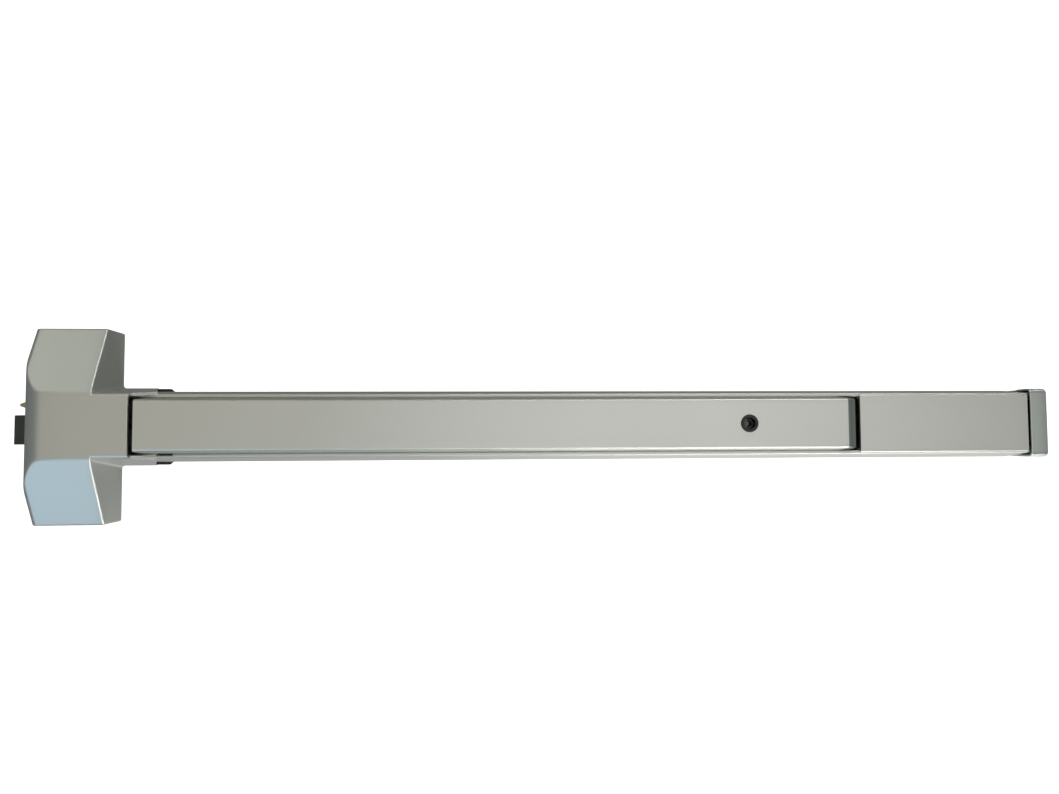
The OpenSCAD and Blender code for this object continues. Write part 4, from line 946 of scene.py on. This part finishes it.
shaft = spindle_points()
finish_piece("dog_screw", shaft, grid_faces(shaft.shape[0], shaft.shape[1], True), DARK_NICKEL,
             "dogging_spindle", "dog_spindle")
tee_z, tee_r = neck_r - 0.2 * MM, 0.3 * MM
tee_outline = rounded([(tee_z, tee_top, tee_r), (tee_z, tee_top - tee_t, tee_r),
                       (-tee_z, tee_top - tee_t, tee_r), (-tee_z, tee_top, tee_r)])
tee = carried("dog_screw_tee", tee_outline, [dog_x - tee_half, dog_x + tee_half], DARK_NICKEL,
              "dogging_spindle", None)
soften(tee, 0.4 * MM)

# %% [markdown]
# ## Springs
#
# A coil spring is a small circle carried along a helix. The circle's two directions are the helix's
# own outward direction and the one square to both it and the wire. At each end the pitch drops to
# the wire's thickness for one turn, as a real spring's closed ends do.

# %% Coil springs
TURN_STEPS, WIRE_SIDES = 24, 10


def coil_spring(name, start, length, coil_r, wire_r, turns, replaced):
    """The helix: x grows with the turn n by the wire's thickness in the first and last turn and
    evenly between them; y and z are coil_r cos and sin of the angle. The tube: centre + wire_r
    (cos v outward + sin v across)."""
    n = np.linspace(0, turns, turns * TURN_STEPS + 1)
    x = wire_r + np.interp(n, [0, 1, turns - 1, turns],
                           [0, 2.1 * wire_r, length - 4.1 * wire_r, length - 2 * wire_r])
    angle = 2 * np.pi * n
    outward_way = np.stack([np.zeros_like(n), np.cos(angle), np.sin(angle)], -1)
    line = np.stack([start[0] + x, start[1] + coil_r * np.cos(angle),
                     start[2] + coil_r * np.sin(angle)], -1)
    along = np.gradient(line, axis=0)
    along /= np.linalg.norm(along, axis=1)[:, None]
    across = np.cross(along, outward_way)
    v = np.linspace(0, 2 * np.pi, WIRE_SIDES, endpoint=False)[:, None]
    tube = line[:, None] + wire_r * (np.cos(v) * outward_way[:, None] + np.sin(v) * across[:, None])
    ends = [range(WIRE_SIDES), range((len(n) - 1) * WIRE_SIDES, len(n) * WIRE_SIDES)]
    spring = finish_piece(name, tube, grid_faces(len(n), WIRE_SIDES, True), SPRING_STEEL, "frame",
                          replaced, ends=ends)
    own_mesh(spring)


latch_throw, finger_throw = 19 * MM, 12 * MM
for name, coil_r, wire_r, turns, joint, travel in (
        ("latch_spring", 2.9 * MM, 0.5 * MM, 9, "latch_slide", latch_throw),
        ("deadlatch_spring", 1.7 * MM, 0.35 * MM, 9, "deadlatch_slide", finger_throw),
        ("return_spring", 3.1 * MM, 0.5 * MM, 11, "drawbar_slide", latch_throw)):
    low, high = (np.array(corner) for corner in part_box(name))
    centre = (low + high) / 2
    coil_spring(name + "_coil", (low[0], centre[1], centre[2]), high[0] - low[0], coil_r, wire_r,
                turns, name)

# %% [markdown]
# ## The parts that stay
#
# The stamped brackets, levers, pins and screws are already the right shape. They keep their CAD
# meshes and take a finish by the material slot that the record gives them. A Weld modifier joins
# their loose triangles without changing the mesh itself, so that a Bevel can break their edges.

# %% Finishes and soft edges for the CAD nodes
node_slots = {}
for part in frame["record"]["subparts"]:
    node_slots[part.get("node", part.get("name"))] = part.get("material_slot", part.get("material"))

# the width of each node's softened edges, in millimetres
EDGE_WIDTH = {"chassis_plate": 0.5, "end_bracket": 0.5, "latch_bolt": 0.35, "deadlatch": 0.5,
              "latch_housing": 0.6}
USUAL_EDGE_WIDTH = 0.25
WELD_DISTANCE = 0.002 * MM
for name, node in nodes.items():
    if node.hide_render:
        continue
    finish_name = node_slots.get(name)
    if finish_name in FINISHES:
        node.data.materials.clear()
        node.data.materials.append(FINISHES[finish_name])
    weld = node.modifiers.new("join triangles", "WELD")
    weld.merge_threshold = WELD_DISTANCE
    soften(node, EDGE_WIDTH.get(name, USUAL_EDGE_WIDTH) * MM, angle=30)
print(len(node_slots), "nodes have a finish from the record")

# %% [markdown]
# ## Backdrop and light
#
# The floor and the wall behind are one pale sheet, bent through a quarter circle so that no line
# shows where they meet. Satin metal shows what it mirrors, so its tones are made with large soft
# panels: a bright one before the middle and right, a warm dim one to the left, a pale one above
# it for the upper wing and a cool one below it for the lower wing. Two more stand low behind and
# beyond the end cap, and three narrow strips above and below draw bright lines along the edges.

# %% Backdrop
sweep_a = np.linspace(0, np.pi / 2, 16)
bend, wall_y, floor_z, top_z, near_y, half_wide = 0.5, 1.1, -0.62, 8.0, -12.0, 12.0
sweep_y = np.concatenate([[near_y], wall_y - bend + bend * np.sin(sweep_a), [wall_y]])
sweep_z = np.concatenate([[floor_z], floor_z + bend - bend * np.cos(sweep_a), [top_z]])
sheet_x = np.array([-half_wide, 0.4, half_wide])
sheet_points = np.stack(np.broadcast_arrays(sheet_x, sweep_y[:, None], sweep_z[:, None]), -1)
sheet_mesh = bpy.data.meshes.new("backdrop")
sheet_mesh.from_pydata(sheet_points.reshape(-1, 3).tolist(), [],
                       grid_faces(len(sweep_y), len(sheet_x)).tolist())
sheet_mesh.shade_smooth()
paper = bpy.data.materials.new("white paper")
paper.use_nodes = True
paper_shader = paper.node_tree.nodes["Principled BSDF"]
paper_shader.inputs["Base Color"].default_value = (0.9, 0.9, 0.9, 1)
paper_shader.inputs["Roughness"].default_value = 0.9
paper_shader.inputs["Emission Color"].default_value = (1, 1, 1, 1)
paper_shader.inputs["Emission Strength"].default_value = 0.9
sheet_mesh.materials.append(paper)
backdrop = bpy.data.objects.new("backdrop", sheet_mesh)
scene.collection.objects.link(backdrop)
# the sheet is only there to be seen: it neither lights the metal nor shows in it
backdrop.visible_diffuse = backdrop.visible_glossy = backdrop.visible_shadow = False


# %% Lights
def soft_panel(name, place, aim, size, power, colour):
    """A rectangular area light that faces its aim."""
    light = bpy.data.lights.new(name, "AREA")
    light.shape = "RECTANGLE"
    light.size, light.size_y = size
    light.energy = power
    light.color = colour
    panel = bpy.data.objects.new(name, light)
    scene.collection.objects.link(panel)
    back = np.array(place, float) - np.array(aim, float)
    back /= np.linalg.norm(back)
    side = np.cross((0, 0, 1), back)
    side /= np.linalg.norm(side)
    matrix = np.eye(4)
    matrix[:3, 0], matrix[:3, 1], matrix[:3, 2] = side, np.cross(back, side), back
    matrix[:3, 3] = place
    panel.matrix_world = matrix.T.tolist()
    panel.visible_camera = False


WHITE = (1, 1, 1)
# each panel: name, place, aim, size in metres, power in watts, colour
PANELS = [
    ("front panel", (0.88, -1.5, 0.05), (0.88, 0, 0.05), (1.6, 1.3), 6.4, (1.0, 1.0, 0.985)),
    ("warm left panel", (-0.55, -1.35, 0.05), (0.05, -0.05, 0), (0.75, 1.3), 1.65,
     (1.0, 0.88, 0.69)),
    ("upper left panel", (-0.55, -0.7, 0.95), (0, -0.05, 0.05), (0.9, 0.7), 1.75,
     (0.98, 1.0, 0.92)),
    ("cool low panel", (-0.5, -0.7, -0.85), (0, -0.05, -0.05), (0.9, 0.7), 3.1,
     (0.54, 0.77, 1.0)),
    ("low panel behind", (0.55, 1.0, -0.5), (0.45, 0, 0), (2.2, 0.6), 1.5, WHITE),
    ("right edge panel", (1.9, -0.3, 0.1), (0.1, -0.05, 0), (0.7, 1.2), 0.7, WHITE),
    ("strip above", (0.85, -0.5, 0.9), (0.6, -0.05, 0), (1.2, 0.12), 4.5, WHITE),
    ("strip below", (0.75, -0.5, -0.9), (0.6, -0.05, 0), (1.2, 0.12), 5, WHITE),
    ("strip under", (0.95, 0.25, -0.95), (0.7, -0.05, 0), (1.2, 0.25), 7, WHITE)]
for panel_facts in PANELS:
    soft_panel(*panel_facts)
print(len(PANELS), "soft panels")

world = bpy.data.worlds.new("studio")
world.use_nodes = True
world.node_tree.nodes["Background"].inputs["Color"].default_value = (0.86, 0.88, 0.84, 1)
world.node_tree.nodes["Background"].inputs["Strength"].default_value = 0.15
scene.world = world

# %% The end
print("the scene is built")
